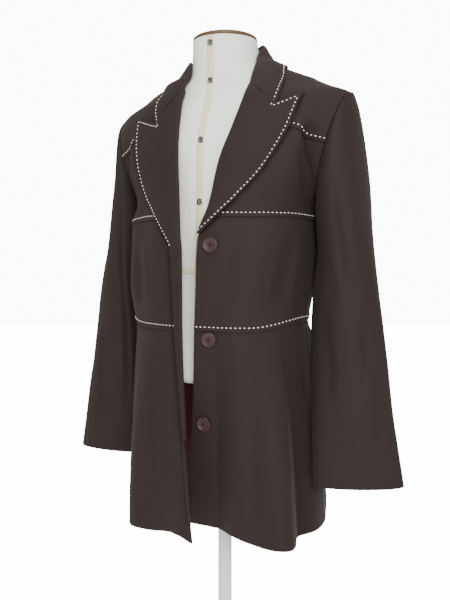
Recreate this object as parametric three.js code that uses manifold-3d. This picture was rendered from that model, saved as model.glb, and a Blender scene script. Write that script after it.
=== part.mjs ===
// A long blazer as it is worn on a limbless dress form with a pole and a round base.
// Millimetres, +Z up. The front faces -Y and the wearer's left is +X.
// Every cloth piece is a thin wall on one shared surface, the outside of the worn blazer.
import * as THREE from 'three';
import { mergeVertices } from 'three/addons/utils/BufferGeometryUtils.js';
import Module from 'manifold-3d';

const wasm = await Module();
wasm.setup();

// Driving sizes
const CLOTH = 2;
const SEAM = 0.3;
const LEFT = 1;
const RIGHT = -1;
const UNDERARM_Z = 1165;
const SHOULDER_TIP_Z = 1333;
const NECK_POINT_Z = 1401;
const SIDE_SEAM = 90;
const SIDE_FOLD = 62;
const BUTTON_RADIUS = 11.5;
const BUTTON_THICKNESS = 4;
const NECK_RADIUS = 54.5;
const FORM_TOP_Z = 1441;
const FORM_BOTTOM_Z = 883;
const CAP_HEIGHT = 11;
const POLE_RADIUS = 11.5;
const BASE_RADIUS = 170;
const BASE_THICKNESS = 10;
const SOCKET_HEIGHT = 42;

// Colours, roughness and metalness
const LOOKS = {
  suiting: { color: 0x443a34, roughness: 0.85, metalness: 0 },
  lining: { color: 0x3c0c14, roughness: 0.5, metalness: 0 },
  button: { color: 0x5c3430, roughness: 0.4, metalness: 0 },
  linen: { color: 0xd8dad2, roughness: 0.9, metalness: 0 },
  wood: { color: 0x9a6f43, roughness: 0.7, metalness: 0 },
  steel: { color: 0x9a978f, roughness: 0.3, metalness: 1 },
  paint: { color: 0xe4e6e6, roughness: 0.4, metalness: 0 },
};

// Sections of the worn blazer. left and right are half widths, front and back the furthest Y,
// middle the Y of the widest point, square the roundness (2 is an ellipse, more is boxier).
const BODY = {
  columns: ['z', 'left', 'right', 'front', 'back', 'middle', 'square'],
  rows: [
    [640, 172, 154, -128, 142, 0, 2.9],
    [720, 168, 155, -129, 138, -2, 2.8],
    [800, 162, 156, -130, 132, -5, 2.6],
    [900, 155, 154, -131, 116, -11, 2.3],
    [976, 151.5, 150, -131, 100, -16, 2.15],
    [1040, 153, 148, -130, 99, -10, 2.1],
    [1100, 156.5, 148, -127, 102, 2, 2.1],
    [1150, 157, 154.5, -118, 106, 16, 2.05],
    [1165, 158, 158, -115, 107, 20, 2],
    [1209, 180, 180, -106, 105, 20, 2],
    [1249, 200, 200, -97, 102, 20, 2],
    [1279, 205, 205, -89, 99, 20, 1.9],
    [1333, 209, 209, -75, 92, 20, 1.75],
    [1350, 176, 174, -69, 88, 20, 1.68],
    [1360, 158, 157, -66, 86, 20, 1.65],
    [1367, 147, 138, -64, 84, 20, 1.65],
    [1374, 133, 104, -61.5, 82, 20, 1.66],
    [1387, 107, 85, -57, 78, 20, 1.7],
    [1401, 78, 70, -51, 73, 20, 1.9],
    [1413, 68, 63, -47, 71, 20, 2],
    [1430, 60, 58, -47, 71, 20, 2],
    [1445, 56, 56, -47, 71, 20, 2],
  ],
};

// Sections of the dress form
const FORM = {
  columns: ['z', 'half', 'front', 'back', 'middle'],
  rows: [
    [883, 136, -100, 90, -5],
    [930, 132, -100, 84, -8],
    [976, 128, -98, 80, -9],
    [1040, 130, -96, 80, -8],
    [1100, 138, -93, 88, -2],
    [1168, 148, -90, 97, 4],
    [1209, 158, -89, 96, 10],
    [1266, 172, -86, 92, 17],
    [1300, 182, -74, 88, 19],
    [1333, 190, -60, 84, 20],
    [1345, 168, -56, 78, 20],
    [1357, 148, -54, 73, 20],
    [1367, 122, -53, 70, 20],
    [1374, 90, -52, 69, 19],
    [1387, 74, -51, 68, 17],
    [1401, 61, -52, 66, 11],
    [1415, 57, -53, 63, 6],
    [1441, 54, -54, 55, 0.5],
  ],
};

// Where each front ends: x of the roll line above the break and of the front edge below it.
// A positive x lies on the front's own side.
const FRONT_EDGE = {
  columns: ['z', 'left', 'right'],
  rows: [
    [650, -32, -14],
    [700, -28, -8.5],
    [750, -19, -3],
    [790, -9, 2],
    [834, -3, 6],
    [900, 3.5, 10.5],
    [976, 9, 13],
    [1033, 12.5, 14],
    [1092, 13.5, 16],
    [1115, 15, 20],
    [1160, 30, 27],
    [1231, 41, 38],
    [1280, 55, 44],
    [1324, 67, 46],
    [1352, 72, 45],
  ],
};

// Free outer edge of each lapel, from its foot to its peak
const LAPEL_EDGE = {
  left: [
    [18, 1117],
    [47, 1148],
    [76, 1181],
    [106, 1217],
    [135, 1267],
    [153, 1325],
  ],
  right: [
    [-12, 680],
    [-3, 769],
    [9, 833],
    [20, 940],
    [28, 1040],
    [33, 1098],
    [55, 1128],
    [76, 1151],
    [103, 1184],
    [121, 1222],
    [132, 1264],
    [137, 1312],
  ],
};

// Where collar and lapel part, and where the gorge seam starts on the roll line
const NOTCH = { left: [118, 1316], right: [89, 1308] };
const GORGE = { left: [72, 1352], right: [45, 1352] };

// Free edge of the collar in front, from the shoulder to the notch
const COLLAR_FRONT = {
  left: [[106, 1389], [115, 1373], [121, 1352], [121, 1333], [118, 1316]],
  right: [[97, 1379], [89, 1368], [90, 1349], [96, 1332], [96, 1320], [89, 1308]],
};

// Collar, by angle round the neck: free edge, roll and the neckline seam below the stand
const COLLAR = {
  columns: ['angle', 'leftEdge', 'rightEdge', 'leftRoll', 'rightRoll', 'leftSeam', 'rightSeam'],
  rows: [
    [31, 1320, 1320, 1340, 1352, 1334, 1350],
    [35, 1324, 1324, 1343, 1393, 1336, 1356],
    [41, 1329, 1329, 1350, 1400, 1341, 1363],
    [48, 1336, 1336, 1372, 1405, 1358, 1371],
    [55, 1348, 1348, 1391, 1407, 1375, 1380],
    [64, 1364, 1364, 1404, 1408, 1389, 1389],
    [90, 1389, 1379, 1426, 1414, 1400.5, 1400.5],
    [120, 1385, 1380, 1441, 1429, 1403, 1403],
    [150, 1378, 1376, 1441, 1439, 1403, 1403],
    [180, 1374, 1374, 1440, 1440, 1403, 1403],
  ],
};

// Folds that the whole wall follows. A fold grows from the height "from" to the height "full",
// and a fold with an "end" has faded out again there.
const FOLDS = [
  { side: LEFT, angle: 55, spread: 9, from: 960, full: 660, amount: 20 },
  { side: LEFT, angle: 70, spread: 7, from: 1000, full: 690, amount: -15 },
  { side: LEFT, angle: 88, spread: 9, from: 900, full: 660, amount: 3 },
  { side: LEFT, angle: 57, spread: 6, from: 1280, full: 1235, amount: 3, end: 1150 },
  { side: LEFT, angle: 65, spread: 4.5, from: 1285, full: 1235, amount: -4, end: 1190 },
  { side: LEFT, angle: 110, spread: 22, from: 1150, full: 1080, amount: 10, end: 960 },
  { side: RIGHT, angle: 62, spread: 10.5, from: 1200, full: 1130, amount: 22, end: 950 },
  { side: RIGHT, angle: 42, spread: 9, from: 960, full: 670, amount: 10 },
  { side: RIGHT, angle: 62, spread: 9, from: 980, full: 680, amount: -10 },
  { side: RIGHT, angle: 0, spread: 13, from: 900, full: 660, amount: 14 },
  { side: LEFT, angle: 118, spread: 10, from: 950, full: 680, amount: 8 },
  { side: LEFT, angle: 146, spread: 10, from: 950, full: 680, amount: -7 },
  { side: RIGHT, angle: 112, spread: 10, from: 950, full: 680, amount: 7 },
  { side: RIGHT, angle: 138, spread: 11, from: 950, full: 680, amount: -8 },
];

// The left front tucks in behind the right one
const TUCK = { from: 1080, full: 660, amount: 31, inside: 20, outside: 37 };

// Sleeve rings from the armhole to the cuff: centre, half width across, its rise, half depth
// and the turn of the flat cloth.
const SLEEVE_COLUMNS = ['x', 'y', 'z', 'across', 'rise', 'deep', 'turn'];
const SLEEVES = {
  left: {
    columns: SLEEVE_COLUMNS,
    rows: [
      [183.5, 20, 1249, 25.5, 84, 55, 0],
      [185, 20.5, 1248, 26.5, 86, 57, 0],
      [186.5, 21, 1242.5, 27, 86, 60, 0],
      [188.5, 22, 1233, 29, 82, 63, 0],
      [190.5, 23, 1214, 32.5, 72, 66, 0],
      [194.5, 24, 1187, 35.5, 57, 68, 0],
      [199, 23, 1152, 39, 38, 67, 0],
      [203, 19, 1103, 42, 20, 61, 2],
      [206, 9, 1042, 49.5, 8, 50, 6],
      [212, -2, 966, 56, 3, 39, 14],
      [218, -8, 905, 59, 1, 33, 18],
      [223, -14, 847, 62, 0, 28, 22],
      [229, -18, 790, 66, -1, 24, 24],
      [235, -22.5, 735, 70, -1, 20, 26],
    ],
  },
  right: {
    columns: SLEEVE_COLUMNS,
    rows: [
      [183.5, 20, 1249, 25.5, 84, 55, 0],
      [184.5, 20.5, 1248, 25.5, 86, 57, 0],
      [186, 21, 1242.5, 27, 86, 60, 0],
      [186.5, 22, 1233, 28, 82, 63, 0],
      [186.5, 23, 1214, 29, 72, 66, 0],
      [187, 24, 1187, 30, 57, 68, 0],
      [188.5, 23, 1152, 32, 38, 67, 0],
      [191, 19, 1103, 36.5, 20, 61, 2],
      [201.5, 15, 1040, 46.5, 8, 50, 0],
      [209, 16, 970, 52, 4, 43, -2],
      [216, 15, 905, 55, 3, 37, -4],
      [224, 14, 845, 58, 2, 31, -6],
      [228, 13, 785, 62, 1, 27, -7],
      [232, 12, 727, 66, 1, 23, -8],
    ],
  },
};
const ARMHOLE = {
  centre: new THREE.Vector3(183.5, 20, 1249),
  across: 25.5,
  rise: 84,
  deep: 55,
};

const BUTTONS = [
  { name: 'button_top', x: 36, z: 1100 },
  { name: 'button_middle', x: 33, z: 957 },
  { name: 'button_bottom', x: 18, z: 825 },
];
const STUD_HEIGHTS = [1428, 1367, 1266, 1168];
const STUD_RADIUS = 4.6;
const FOLD_FADE = 90;
const NECK_EASE = 2.4;
const BUTTON_SEAT = 0.45;
const COLLAR_CLEAR = 2.8;
const COLLAR_BULGE = 2.5;
const LINING_GAP = 3;
const LINING_SEAT = 0.9;
const ROLL_GAP = 1.3;
const LAPEL_CLEAR = 1.1;
const LAPEL_BULGE = 2.2;
const SHOULDER_LEAN = 0.035;
const SHOULDER_SHIFT = 3.5;

const radians = THREE.MathUtils.degToRad;

function smoothstep(from, to, value) {
  const share = THREE.MathUtils.clamp((value - from) / (to - from), 0, 1);
  return share * share * (3 - 2 * share);
}

// Smooth value of one column of a table at the given place of its first column
function lookUp(table, column, at) {
  const index = table.columns.indexOf(column);
  const rows = table.rows;
  const last = rows.length - 1;
  if (at <= rows[0][0]) return rows[0][index];
  if (at >= rows[last][0]) return rows[last][index];
  let low = 0;
  while (rows[low + 1][0] < at) low += 1;
  const slope = (i) => {
    const before = rows[Math.max(i - 1, 0)];
    const after = rows[Math.min(i + 1, last)];
    return (after[index] - before[index]) / (after[0] - before[0]);
  };
  const step = rows[low + 1][0] - rows[low][0];
  const t = (at - rows[low][0]) / step;
  const rest = 1 - t;
  const start = rows[low][index] * (1 + 2 * t) * rest * rest;
  const finish = rows[low + 1][index] * (3 - 2 * t) * t * t;
  const bend = step * t * rest * (slope(low) * rest - slope(low + 1) * t);
  return start + finish + bend;
}

// The worn shoulders stand a little higher on the left, and lie a little to that side
function leaned(point, shift = SHOULDER_SHIFT) {
  const raised = smoothstep(1150, 1330, point.z) * smoothstep(60, 200, Math.abs(point.x));
  const moved = smoothstep(1100, 1300, point.z) * (1 - smoothstep(1370, 1410, point.z));
  return new THREE.Vector3(
    point.x + shift * moved,
    point.y,
    point.z + SHOULDER_LEAN * point.x * raised,
  );
}

const sideName = (side) => (side === LEFT ? 'left' : 'right');

// Half depth of the armhole at height z, and its x there
function armholeAt(z) {
  const up = THREE.MathUtils.clamp((z - ARMHOLE.centre.z) / ARMHOLE.rise, -1, 1);
  return {
    x: ARMHOLE.centre.x + ARMHOLE.across * up,
    reach: ARMHOLE.deep * Math.sqrt(1 - up * up),
  };
}

// Half width of the section, made so that front and back pass through the armhole
function halfWidth(side, z, depth, square) {
  if (z <= UNDERARM_Z || z >= SHOULDER_TIP_Z) return lookUp(BODY, sideName(side), z);
  const hole = armholeAt(z);
  return hole.x / (1 - (hole.reach / depth) ** square) ** (1 / square);
}

function foldAt(side, angle, z) {
  let sum = 0;
  for (const fold of FOLDS) {
    if (fold.side !== side) continue;
    const grown = smoothstep(fold.from, fold.full, z);
    const kept = fold.end ? smoothstep(fold.end, fold.end + FOLD_FADE, z) : 1;
    sum += fold.amount * grown * kept * Math.exp(-(((angle - fold.angle) / fold.spread) ** 2));
  }
  if (side === LEFT) {
    const tucked = 1 - smoothstep(TUCK.inside, TUCK.outside, angle);
    sum -= TUCK.amount * smoothstep(TUCK.from, TUCK.full, z) * tucked;
  }
  return sum;
}

// Point of the worn surface. The angle is 0 at the front and 180 at the back.
function surfacePoint(side, angle, z) {
  const middle = lookUp(BODY, 'middle', z);
  const isFront = Math.abs(angle) <= SIDE_SEAM;
  const depth = isFront ? middle - lookUp(BODY, 'front', z) : lookUp(BODY, 'back', z) - middle;
  const square = isFront ? lookUp(BODY, 'square', z) : 2;
  const width = halfWidth(side, z, depth, square);
  const sine = Math.sin(radians(angle));
  const cosine = Math.cos(radians(angle));
  const reach = ((Math.abs(sine) / width) ** square + (Math.abs(cosine) / depth) ** square)
    ** (-1 / square);
  const radius = reach + foldAt(side, angle, z);
  return leaned(new THREE.Vector3(side * radius * sine, middle - radius * cosine, z));
}

function surfaceNormal(side, angle, z) {
  const step = 0.4;
  const across = surfacePoint(side, angle + step, z).sub(surfacePoint(side, angle - step, z));
  const up = surfacePoint(side, angle, z + step).sub(surfacePoint(side, angle, z - step));
  return across.cross(up).normalize().multiplyScalar(side);
}

function lifted(side, angle, z, lift) {
  return surfacePoint(side, angle, z).addScaledVector(surfaceNormal(side, angle, z), lift);
}

// Angle at which the section at height z reaches x
function angleAt(side, x, z) {
  let low = -25;
  let high = SIDE_SEAM;
  for (let i = 0; i < 40; i += 1) {
    const middle = (low + high) / 2;
    if (surfacePoint(side, middle, z).x * side < x) low = middle;
    else high = middle;
  }
  return (low + high) / 2;
}

function armholeAngle(z, isFront) {
  const hole = armholeAt(z);
  const angle = THREE.MathUtils.radToDeg(Math.atan2(hole.x, hole.reach));
  return isFront ? angle : 180 - angle;
}

// Heights of the seams by angle
function hemZ(side, angle) {
  const leftFront = 662.5 - 9.5 * smoothstep(30, 50, angle);
  const rightFront = 650.5 + 8 * smoothstep(-6, 4, angle) - 8 * smoothstep(9, 33, angle);
  const front = side === LEFT ? leftFront : rightFront;
  return front + 6 * smoothstep(60, 90, angle) + 38 * smoothstep(95, 135, angle);
}

const waistZ = (side, angle) => 969 + 12 * smoothstep(45, 85, angle);
const chestZ = (side, angle) => 1143 - 4 * smoothstep(60, 90, angle) - (side === RIGHT ? 3 : 0);
const neckSeamZ = (side, angle) => lookUp(COLLAR, `${sideName(side)}Seam`, angle);
const yokeZ = (angle) => 1284 - 25 * smoothstep(52, 74, angle);

// Builds one closed solid from a grid of outer and inner points, rows by columns
function wallMesh(name, outer, inner, look) {
  const rows = outer.length;
  const columns = outer[0].length;
  const positions = [];
  for (const grid of [outer, inner]) {
    for (const row of grid) for (const point of row) positions.push(point.x, point.y, point.z);
  }
  const index = [];
  const half = rows * columns;
  const at = (layer, j, i) => layer * half + j * columns + i;
  const quad = (a, b, c, d) => index.push(a, b, c, a, c, d);
  for (let j = 0; j < rows - 1; j += 1) {
    for (let i = 0; i < columns - 1; i += 1) {
      quad(at(0, j, i), at(0, j, i + 1), at(0, j + 1, i + 1), at(0, j + 1, i));
      quad(at(1, j, i), at(1, j + 1, i), at(1, j + 1, i + 1), at(1, j, i + 1));
    }
  }
  for (let i = 0; i < columns - 1; i += 1) {
    const top = rows - 1;
    quad(at(0, 0, i), at(1, 0, i), at(1, 0, i + 1), at(0, 0, i + 1));
    quad(at(0, top, i), at(0, top, i + 1), at(1, top, i + 1), at(1, top, i));
  }
  for (let j = 0; j < rows - 1; j += 1) {
    const end = columns - 1;
    quad(at(0, j, 0), at(0, j + 1, 0), at(1, j + 1, 0), at(1, j, 0));
    quad(at(0, j, end), at(1, j, end), at(1, j + 1, end), at(0, j + 1, end));
  }
  return solidMesh(name, positions, index, look);
}

function signedVolume(positions, index) {
  const point = (i) => new THREE.Vector3().fromArray(positions, index[i] * 3);
  let sum = 0;
  for (let i = 0; i < index.length; i += 3) sum += point(i).dot(point(i + 1).cross(point(i + 2)));
  return sum / 6;
}

function solidMesh(name, positions, index, look) {
  if (signedVolume(positions, index) < 0) index.reverse();
  const geometry = new THREE.BufferGeometry();
  geometry.setAttribute('position', new THREE.Float32BufferAttribute(positions, 3));
  geometry.setIndex(index);
  geometry.computeVertexNormals();
  return namedMesh(name, geometry, look);
}

function namedMesh(name, geometry, look) {
  const material = new THREE.MeshStandardMaterial({ ...LOOKS[look], side: THREE.DoubleSide });
  const mesh = new THREE.Mesh(geometry, material);
  mesh.name = name;
  return mesh;
}

// Patch between four edges given in angle and height, blended across
function patch(edges, u, v) {
  const [low, high] = [edges.bottom(u), edges.top(u)];
  const [near, far] = [edges.near(v), edges.far(v)];
  const corner = (i) => {
    const atLow = edges.bottom(0)[i] * (1 - u) + edges.bottom(1)[i] * u;
    const atHigh = edges.top(0)[i] * (1 - u) + edges.top(1)[i] * u;
    return atLow * (1 - v) + atHigh * v;
  };
  const along = (i) => low[i] * (1 - v) + high[i] * v;
  const across = (i) => near[i] * (1 - u) + far[i] * u;
  return [0, 1].map((i) => along(i) + across(i) - corner(i));
}

// Wall on the worn surface between four edges, kept half a seam from each of them
function panelMesh(name, side, edges, columns, rows, options = {}) {
  const { lift = () => 0, thickness = CLOTH, look = 'suiting' } = options;
  const outer = [];
  const inner = [];
  for (let j = 0; j <= rows; j += 1) {
    const [outerRow, innerRow] = [[], []];
    for (let i = 0; i <= columns; i += 1) {
      const [angle, z] = patch(edges, i / columns, j / rows);
      const perDegree = surfacePoint(side, angle, z).distanceTo(surfacePoint(side, angle + 1, z));
      const sideways = ((i === 0 ? 1 : 0) - (i === columns ? 1 : 0)) * SEAM / 2;
      const upward = ((j === 0 ? 1 : 0) - (j === rows ? 1 : 0)) * SEAM / 2;
      const place = [angle + sideways / perDegree, z + upward];
      outerRow.push(lifted(side, ...place, lift(j / rows)));
      innerRow.push(lifted(side, ...place, lift(j / rows) - thickness));
    }
    outer.push(outerRow);
    inner.push(innerRow);
  }
  return wallMesh(name, outer, inner, look);
}

// An edge that runs through several named points, each at its own share of the way
function through(stops) {
  return (share) => {
    let i = 0;
    while (i < stops.length - 2 && share > stops[i + 1].share + 1e-9) i += 1;
    const [a, b] = [stops[i], stops[i + 1]];
    const t = THREE.MathUtils.clamp((share - a.share) / (b.share - a.share), 0, 1);
    return b.path ? b.path(t) : [0, 1].map((k) => a.at[k] * (1 - t) + b.at[k] * t);
  };
}

const mix = THREE.MathUtils.lerp;

// Straight line up the side between two heights
const sideLine = (low, high) => (share) => [SIDE_SEAM, mix(low, high, share)];

// Front edge or roll line between two heights
function frontEdge(side, low, high) {
  return (v) => {
    const z = mix(low, high, v);
    return [angleAt(side, lookUp(FRONT_EDGE, sideName(side), z), z), z];
  };
}

// Armhole between two heights, stepped so that its round foot keeps its shape
function armholeEdge(low, high, isFront) {
  const share = (z) => THREE.MathUtils.clamp((z - ARMHOLE.centre.z) / ARMHOLE.rise, -1, 1);
  const turn = (z) => Math.acos(share(z));
  return (t) => {
    const z = ARMHOLE.centre.z + ARMHOLE.rise * Math.cos(mix(turn(low), turn(high), t));
    return [armholeAngle(z, isFront), z];
  };
}

// Seam that follows a height function between two angles
function seamEdge(height, from, to) {
  return (u) => {
    const angle = mix(from, to, u);
    return [angle, height(angle)];
  };
}

const FRONT_COLUMNS = 11;
const FOLD_COLUMN = 7;
const foldShare = FOLD_COLUMN / FRONT_COLUMNS;

// Waist and hem run in two stretches, so that a column lies on the side fold
function foldedEdge(height, near) {
  return through([
    { share: 0, at: [near, height(near)] },
    { share: foldShare, path: seamEdge(height, near, SIDE_FOLD) },
    { share: 1, path: seamEdge(height, SIDE_FOLD, SIDE_SEAM) },
  ]);
}

function frontPieces(side) {
  const name = sideName(side);
  const waist = (angle) => waistZ(side, angle);
  const chest = (angle) => chestZ(side, angle);
  const hem = (angle) => hemZ(side, angle);
  const edgeAngle = (z) => angleAt(side, lookUp(FRONT_EDGE, name, z), z);
  const hemStart = edgeAngle(hem(0));
  const waistStart = edgeAngle(waist(0));
  const chestStart = edgeAngle(chest(0));
  const yokeStart = edgeAngle(yokeZ(0));
  const foldLine = (v) => [SIDE_FOLD, mix(hem(SIDE_FOLD), waist(SIDE_FOLD), v)];
  const yokeEnd = armholeAngle(yokeZ(SIDE_SEAM), true);
  const [gorgeX, gorgeZ] = GORGE[name];
  const gorgeAngle = angleAt(side, gorgeX, gorgeZ);
  const neckStart = neckSeamZ(side, gorgeAngle) - 6;

  const skirt = {
    bottom: seamEdge(hem, hemStart, SIDE_FOLD),
    top: seamEdge(waist, waistStart, SIDE_FOLD),
    near: frontEdge(side, hem(hemStart), waist(waistStart)),
    far: foldLine,
  };
  const sideSkirt = {
    bottom: seamEdge(hem, SIDE_FOLD, SIDE_SEAM),
    top: seamEdge(waist, SIDE_FOLD, SIDE_SEAM),
    near: foldLine,
    far: sideLine(hem(SIDE_SEAM), waist(SIDE_SEAM)),
  };
  const midriff = {
    bottom: foldedEdge(waist, waistStart),
    top: foldedEdge(chest, chestStart),
    near: frontEdge(side, waist(waistStart), chest(chestStart)),
    far: sideLine(waist(SIDE_SEAM), chest(SIDE_SEAM)),
  };
  const chestRows = 9;
  const chestPanel = {
    bottom: foldedEdge(chest, chestStart),
    top: seamEdge(yokeZ, yokeStart, yokeEnd),
    near: frontEdge(side, chest(chestStart), yokeZ(yokeStart)),
    far: through([
      { share: 0, at: [SIDE_SEAM, chest(SIDE_SEAM)] },
      { share: 2 / chestRows, path: sideLine(chest(SIDE_SEAM), UNDERARM_Z) },
      { share: 1, path: armholeEdge(UNDERARM_Z, yokeZ(SIDE_SEAM), true) },
    ]),
  };
  const yokeRows = 11;
  const neckMiddle = 52;
  const neckEnd = [76, 1397];
  const yoke = {
    bottom: seamEdge(yokeZ, yokeStart, yokeEnd),
    top: through([
      { share: 0, at: neckEnd },
      { share: 1, at: [SIDE_SEAM, NECK_POINT_Z] },
    ]),
    near: through([
      { share: 0, at: [yokeStart, yokeZ(yokeStart)] },
      { share: 5 / yokeRows, path: frontEdge(side, yokeZ(yokeStart), neckStart) },
      { share: 8 / yokeRows, path: (t) => neckStep(side, gorgeAngle, neckMiddle, t, NECK_EASE) },
      { share: 1, path: (t) => neckStep(side, neckMiddle, neckEnd[0], t, NECK_EASE) },
    ]),
    far: through([
      { share: 0, at: [yokeEnd, yokeZ(SIDE_SEAM)] },
      { share: 5 / yokeRows, path: armholeEdge(yokeZ(SIDE_SEAM), SHOULDER_TIP_Z, true) },
      { share: 1, path: sideLine(SHOULDER_TIP_Z, NECK_POINT_Z) },
    ]),
  };
  return [
    panelMesh(`front_skirt_${name}`, side, skirt, FOLD_COLUMN, 8),
    panelMesh(`side_skirt_${name}`, side, sideSkirt, FRONT_COLUMNS - FOLD_COLUMN, 8),
    panelMesh(`front_midriff_${name}`, side, midriff, FRONT_COLUMNS, 6),
    panelMesh(`front_chest_${name}`, side, chestPanel, FRONT_COLUMNS, chestRows),
    panelMesh(`front_yoke_${name}`, side, yoke, FRONT_COLUMNS, yokeRows),
  ];
}

// The neckline seam in front, by angle
function neckStep(side, from, to, t, ease = 0) {
  const angle = mix(from, to, t);
  return [angle + ease, neckSeamZ(side, angle)];
}

function backPieces(side) {
  const name = sideName(side);
  const columns = 8;
  const bodyRows = 6;
  const chestRows = 2;
  const holeRows = 6;
  const shoulderRows = 6;
  const rows = bodyRows + chestRows + holeRows + shoulderRows;
  const chestEnd = chestZ(side, SIDE_SEAM);
  const waist = (angle) => waistZ(side, angle);
  const hem = (angle) => hemZ(side, angle);
  const centre = 180;
  const upper = {
    bottom: seamEdge(waist, SIDE_SEAM, centre),
    top: (u) => neckStep(side, SIDE_SEAM, centre, u),
    near: through([
      { share: 0, at: [SIDE_SEAM, waist(SIDE_SEAM)] },
      { share: bodyRows / rows, path: sideLine(waist(SIDE_SEAM), chestEnd) },
      { share: (bodyRows + chestRows) / rows, path: sideLine(chestEnd, UNDERARM_Z) },
      { share: 1 - shoulderRows / rows, path: armholeEdge(UNDERARM_Z, SHOULDER_TIP_Z, false) },
      { share: 1, path: sideLine(SHOULDER_TIP_Z, NECK_POINT_Z) },
    ]),
    far: (v) => [centre, mix(waist(centre), neckSeamZ(side, centre), v)],
  };
  const skirt = {
    bottom: seamEdge(hem, SIDE_SEAM, centre),
    top: seamEdge(waist, SIDE_SEAM, centre),
    near: sideLine(hem(SIDE_SEAM), waist(SIDE_SEAM)),
    far: (v) => [centre, mix(hem(centre), waist(centre), v)],
  };
  return [
    panelMesh(`back_${name}`, side, upper, columns, rows),
    panelMesh(`back_skirt_${name}`, side, skirt, columns, 8),
  ];
}

function liningPiece(side) {
  const [from, to] = [100, 180];
  const low = (angle) => hemZ(side, angle) + 12;
  const edges = {
    bottom: seamEdge(low, from, to),
    top: (u) => [mix(from, to, u), 940],
    near: (v) => [from, mix(low(from), 940, v)],
    far: (v) => [to, mix(low(to), 940, v)],
  };
  // The lining is sewn in at its upper edge and hangs free below
  const lift = (v) => -CLOTH - (v === 1 ? LINING_SEAT : LINING_GAP);
  const options = { lift, thickness: 1, look: 'lining' };
  return panelMesh(`lining_${sideName(side)}`, side, edges, 6, 6, options);
}

// A turned-out piece lies over the front from its roll line outwards. Its wall bends round
// the roll, so the first stations lie past the roll line. It bulges above its flat share,
// and its rows stand closer towards the top where the spacing is below 1.
function turnedMesh(name, side, edges, columns, { rows, flatShare, spacing }) {
  const outer = [];
  const inner = [];
  for (let j = 0; j <= rows; j += 1) {
    const v = (j / rows) ** spacing;
    const [outerRow, innerRow] = [[], []];
    const roll = patch(edges, 0, v);
    const rollPoint = surfacePoint(side, ...roll);
    const normal = surfaceNormal(side, ...roll);
    const later = surfacePoint(side, ...patch(edges, 0, Math.min(v + 0.02, 1)));
    const along = later.sub(surfacePoint(side, ...patch(edges, 0, Math.max(v - 0.02, 0)))).normalize();
    const past = along.cross(normal).normalize();
    if (past.dot(surfacePoint(side, ...patch(edges, 1, v)).sub(rollPoint)) > 0) past.negate();
    const bent = (beyond, lift) => {
      const point = rollPoint.clone().addScaledVector(past, beyond);
      return point.addScaledVector(normal, lift);
    };
    outerRow.push(bent(ROLL_GAP + CLOTH, -CLOTH));
    innerRow.push(bent(ROLL_GAP, -CLOTH));
    outerRow.push(bent(ROLL_GAP + CLOTH, 0.9), bent(0.8, 3.2));
    innerRow.push(bent(ROLL_GAP, 0.5), bent(-0.3, 1.2));
    const bulge = LAPEL_BULGE * smoothstep(0, 0.2, v - flatShare);
    for (let i = 1; i <= columns; i += 1) {
      const u = i / columns;
      const [angle, height] = patch(edges, u, v);
      const z = height - (j === rows ? SEAM : 0);
      const lift = LAPEL_CLEAR + bulge * Math.sin(Math.PI * u);
      outerRow.push(lifted(side, angle, z, lift + CLOTH));
      innerRow.push(lifted(side, angle, z, lift));
    }
    outer.push(outerRow);
    inner.push(innerRow);
  }
  return wallMesh(name, outer, inner, 'suiting');
}

// Smooth line through points given as x and z, as angles and heights on the surface
function surfaceLine(side, points) {
  const places = points.map(([x, z]) => new THREE.Vector3(x, 0, z));
  const curve = new THREE.CatmullRomCurve3(places, false, 'centripetal');
  return (t) => {
    const point = curve.getPointAt(THREE.MathUtils.clamp(t, 0, 1));
    return [angleAt(side, point.x, point.z), point.z];
  };
}

const LAPEL_COLUMNS = 9;
const GORGE_COLUMNS = 6;

function lapelPiece(side) {
  const name = sideName(side);
  const edge = LAPEL_EDGE[name];
  const peak = edge[edge.length - 1];
  const [gorgeX, gorgeZ] = GORGE[name];
  const foot = edge[0];
  const toSurface = ([x, z]) => [angleAt(side, x, z), z];
  const edges = {
    bottom: (u) => toSurface([mix(lookUp(FRONT_EDGE, name, foot[1]), foot[0], u), foot[1]]),
    top: through([
      { share: 0, at: toSurface([gorgeX, gorgeZ]) },
      { share: GORGE_COLUMNS / LAPEL_COLUMNS, path: gorgeLine(side) },
      { share: 1, path: (t) => toSurface([0, 1].map((k) => mix(NOTCH[name][k], peak[k], t))) },
    ]),
    near: frontEdge(side, foot[1], gorgeZ),
    far: surfaceLine(side, edge),
  };
  const short = { rows: 12, flatShare: 0, spacing: 1 };
  const long = { rows: 20, flatShare: 0.55, spacing: 0.75 };
  const shape = side === LEFT ? short : long;
  return turnedMesh(`lapel_${name}`, side, edges, LAPEL_COLUMNS, shape);
}

// Where collar and lapel meet, from the roll line out to the notch
function gorgeLine(side) {
  const [roll, notch] = [GORGE[sideName(side)], NOTCH[sideName(side)]];
  return (u) => {
    const [x, z] = [mix(roll[0], notch[0], u), mix(roll[1], notch[1], u)];
    return [angleAt(side, x, z), z];
  };
}

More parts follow.
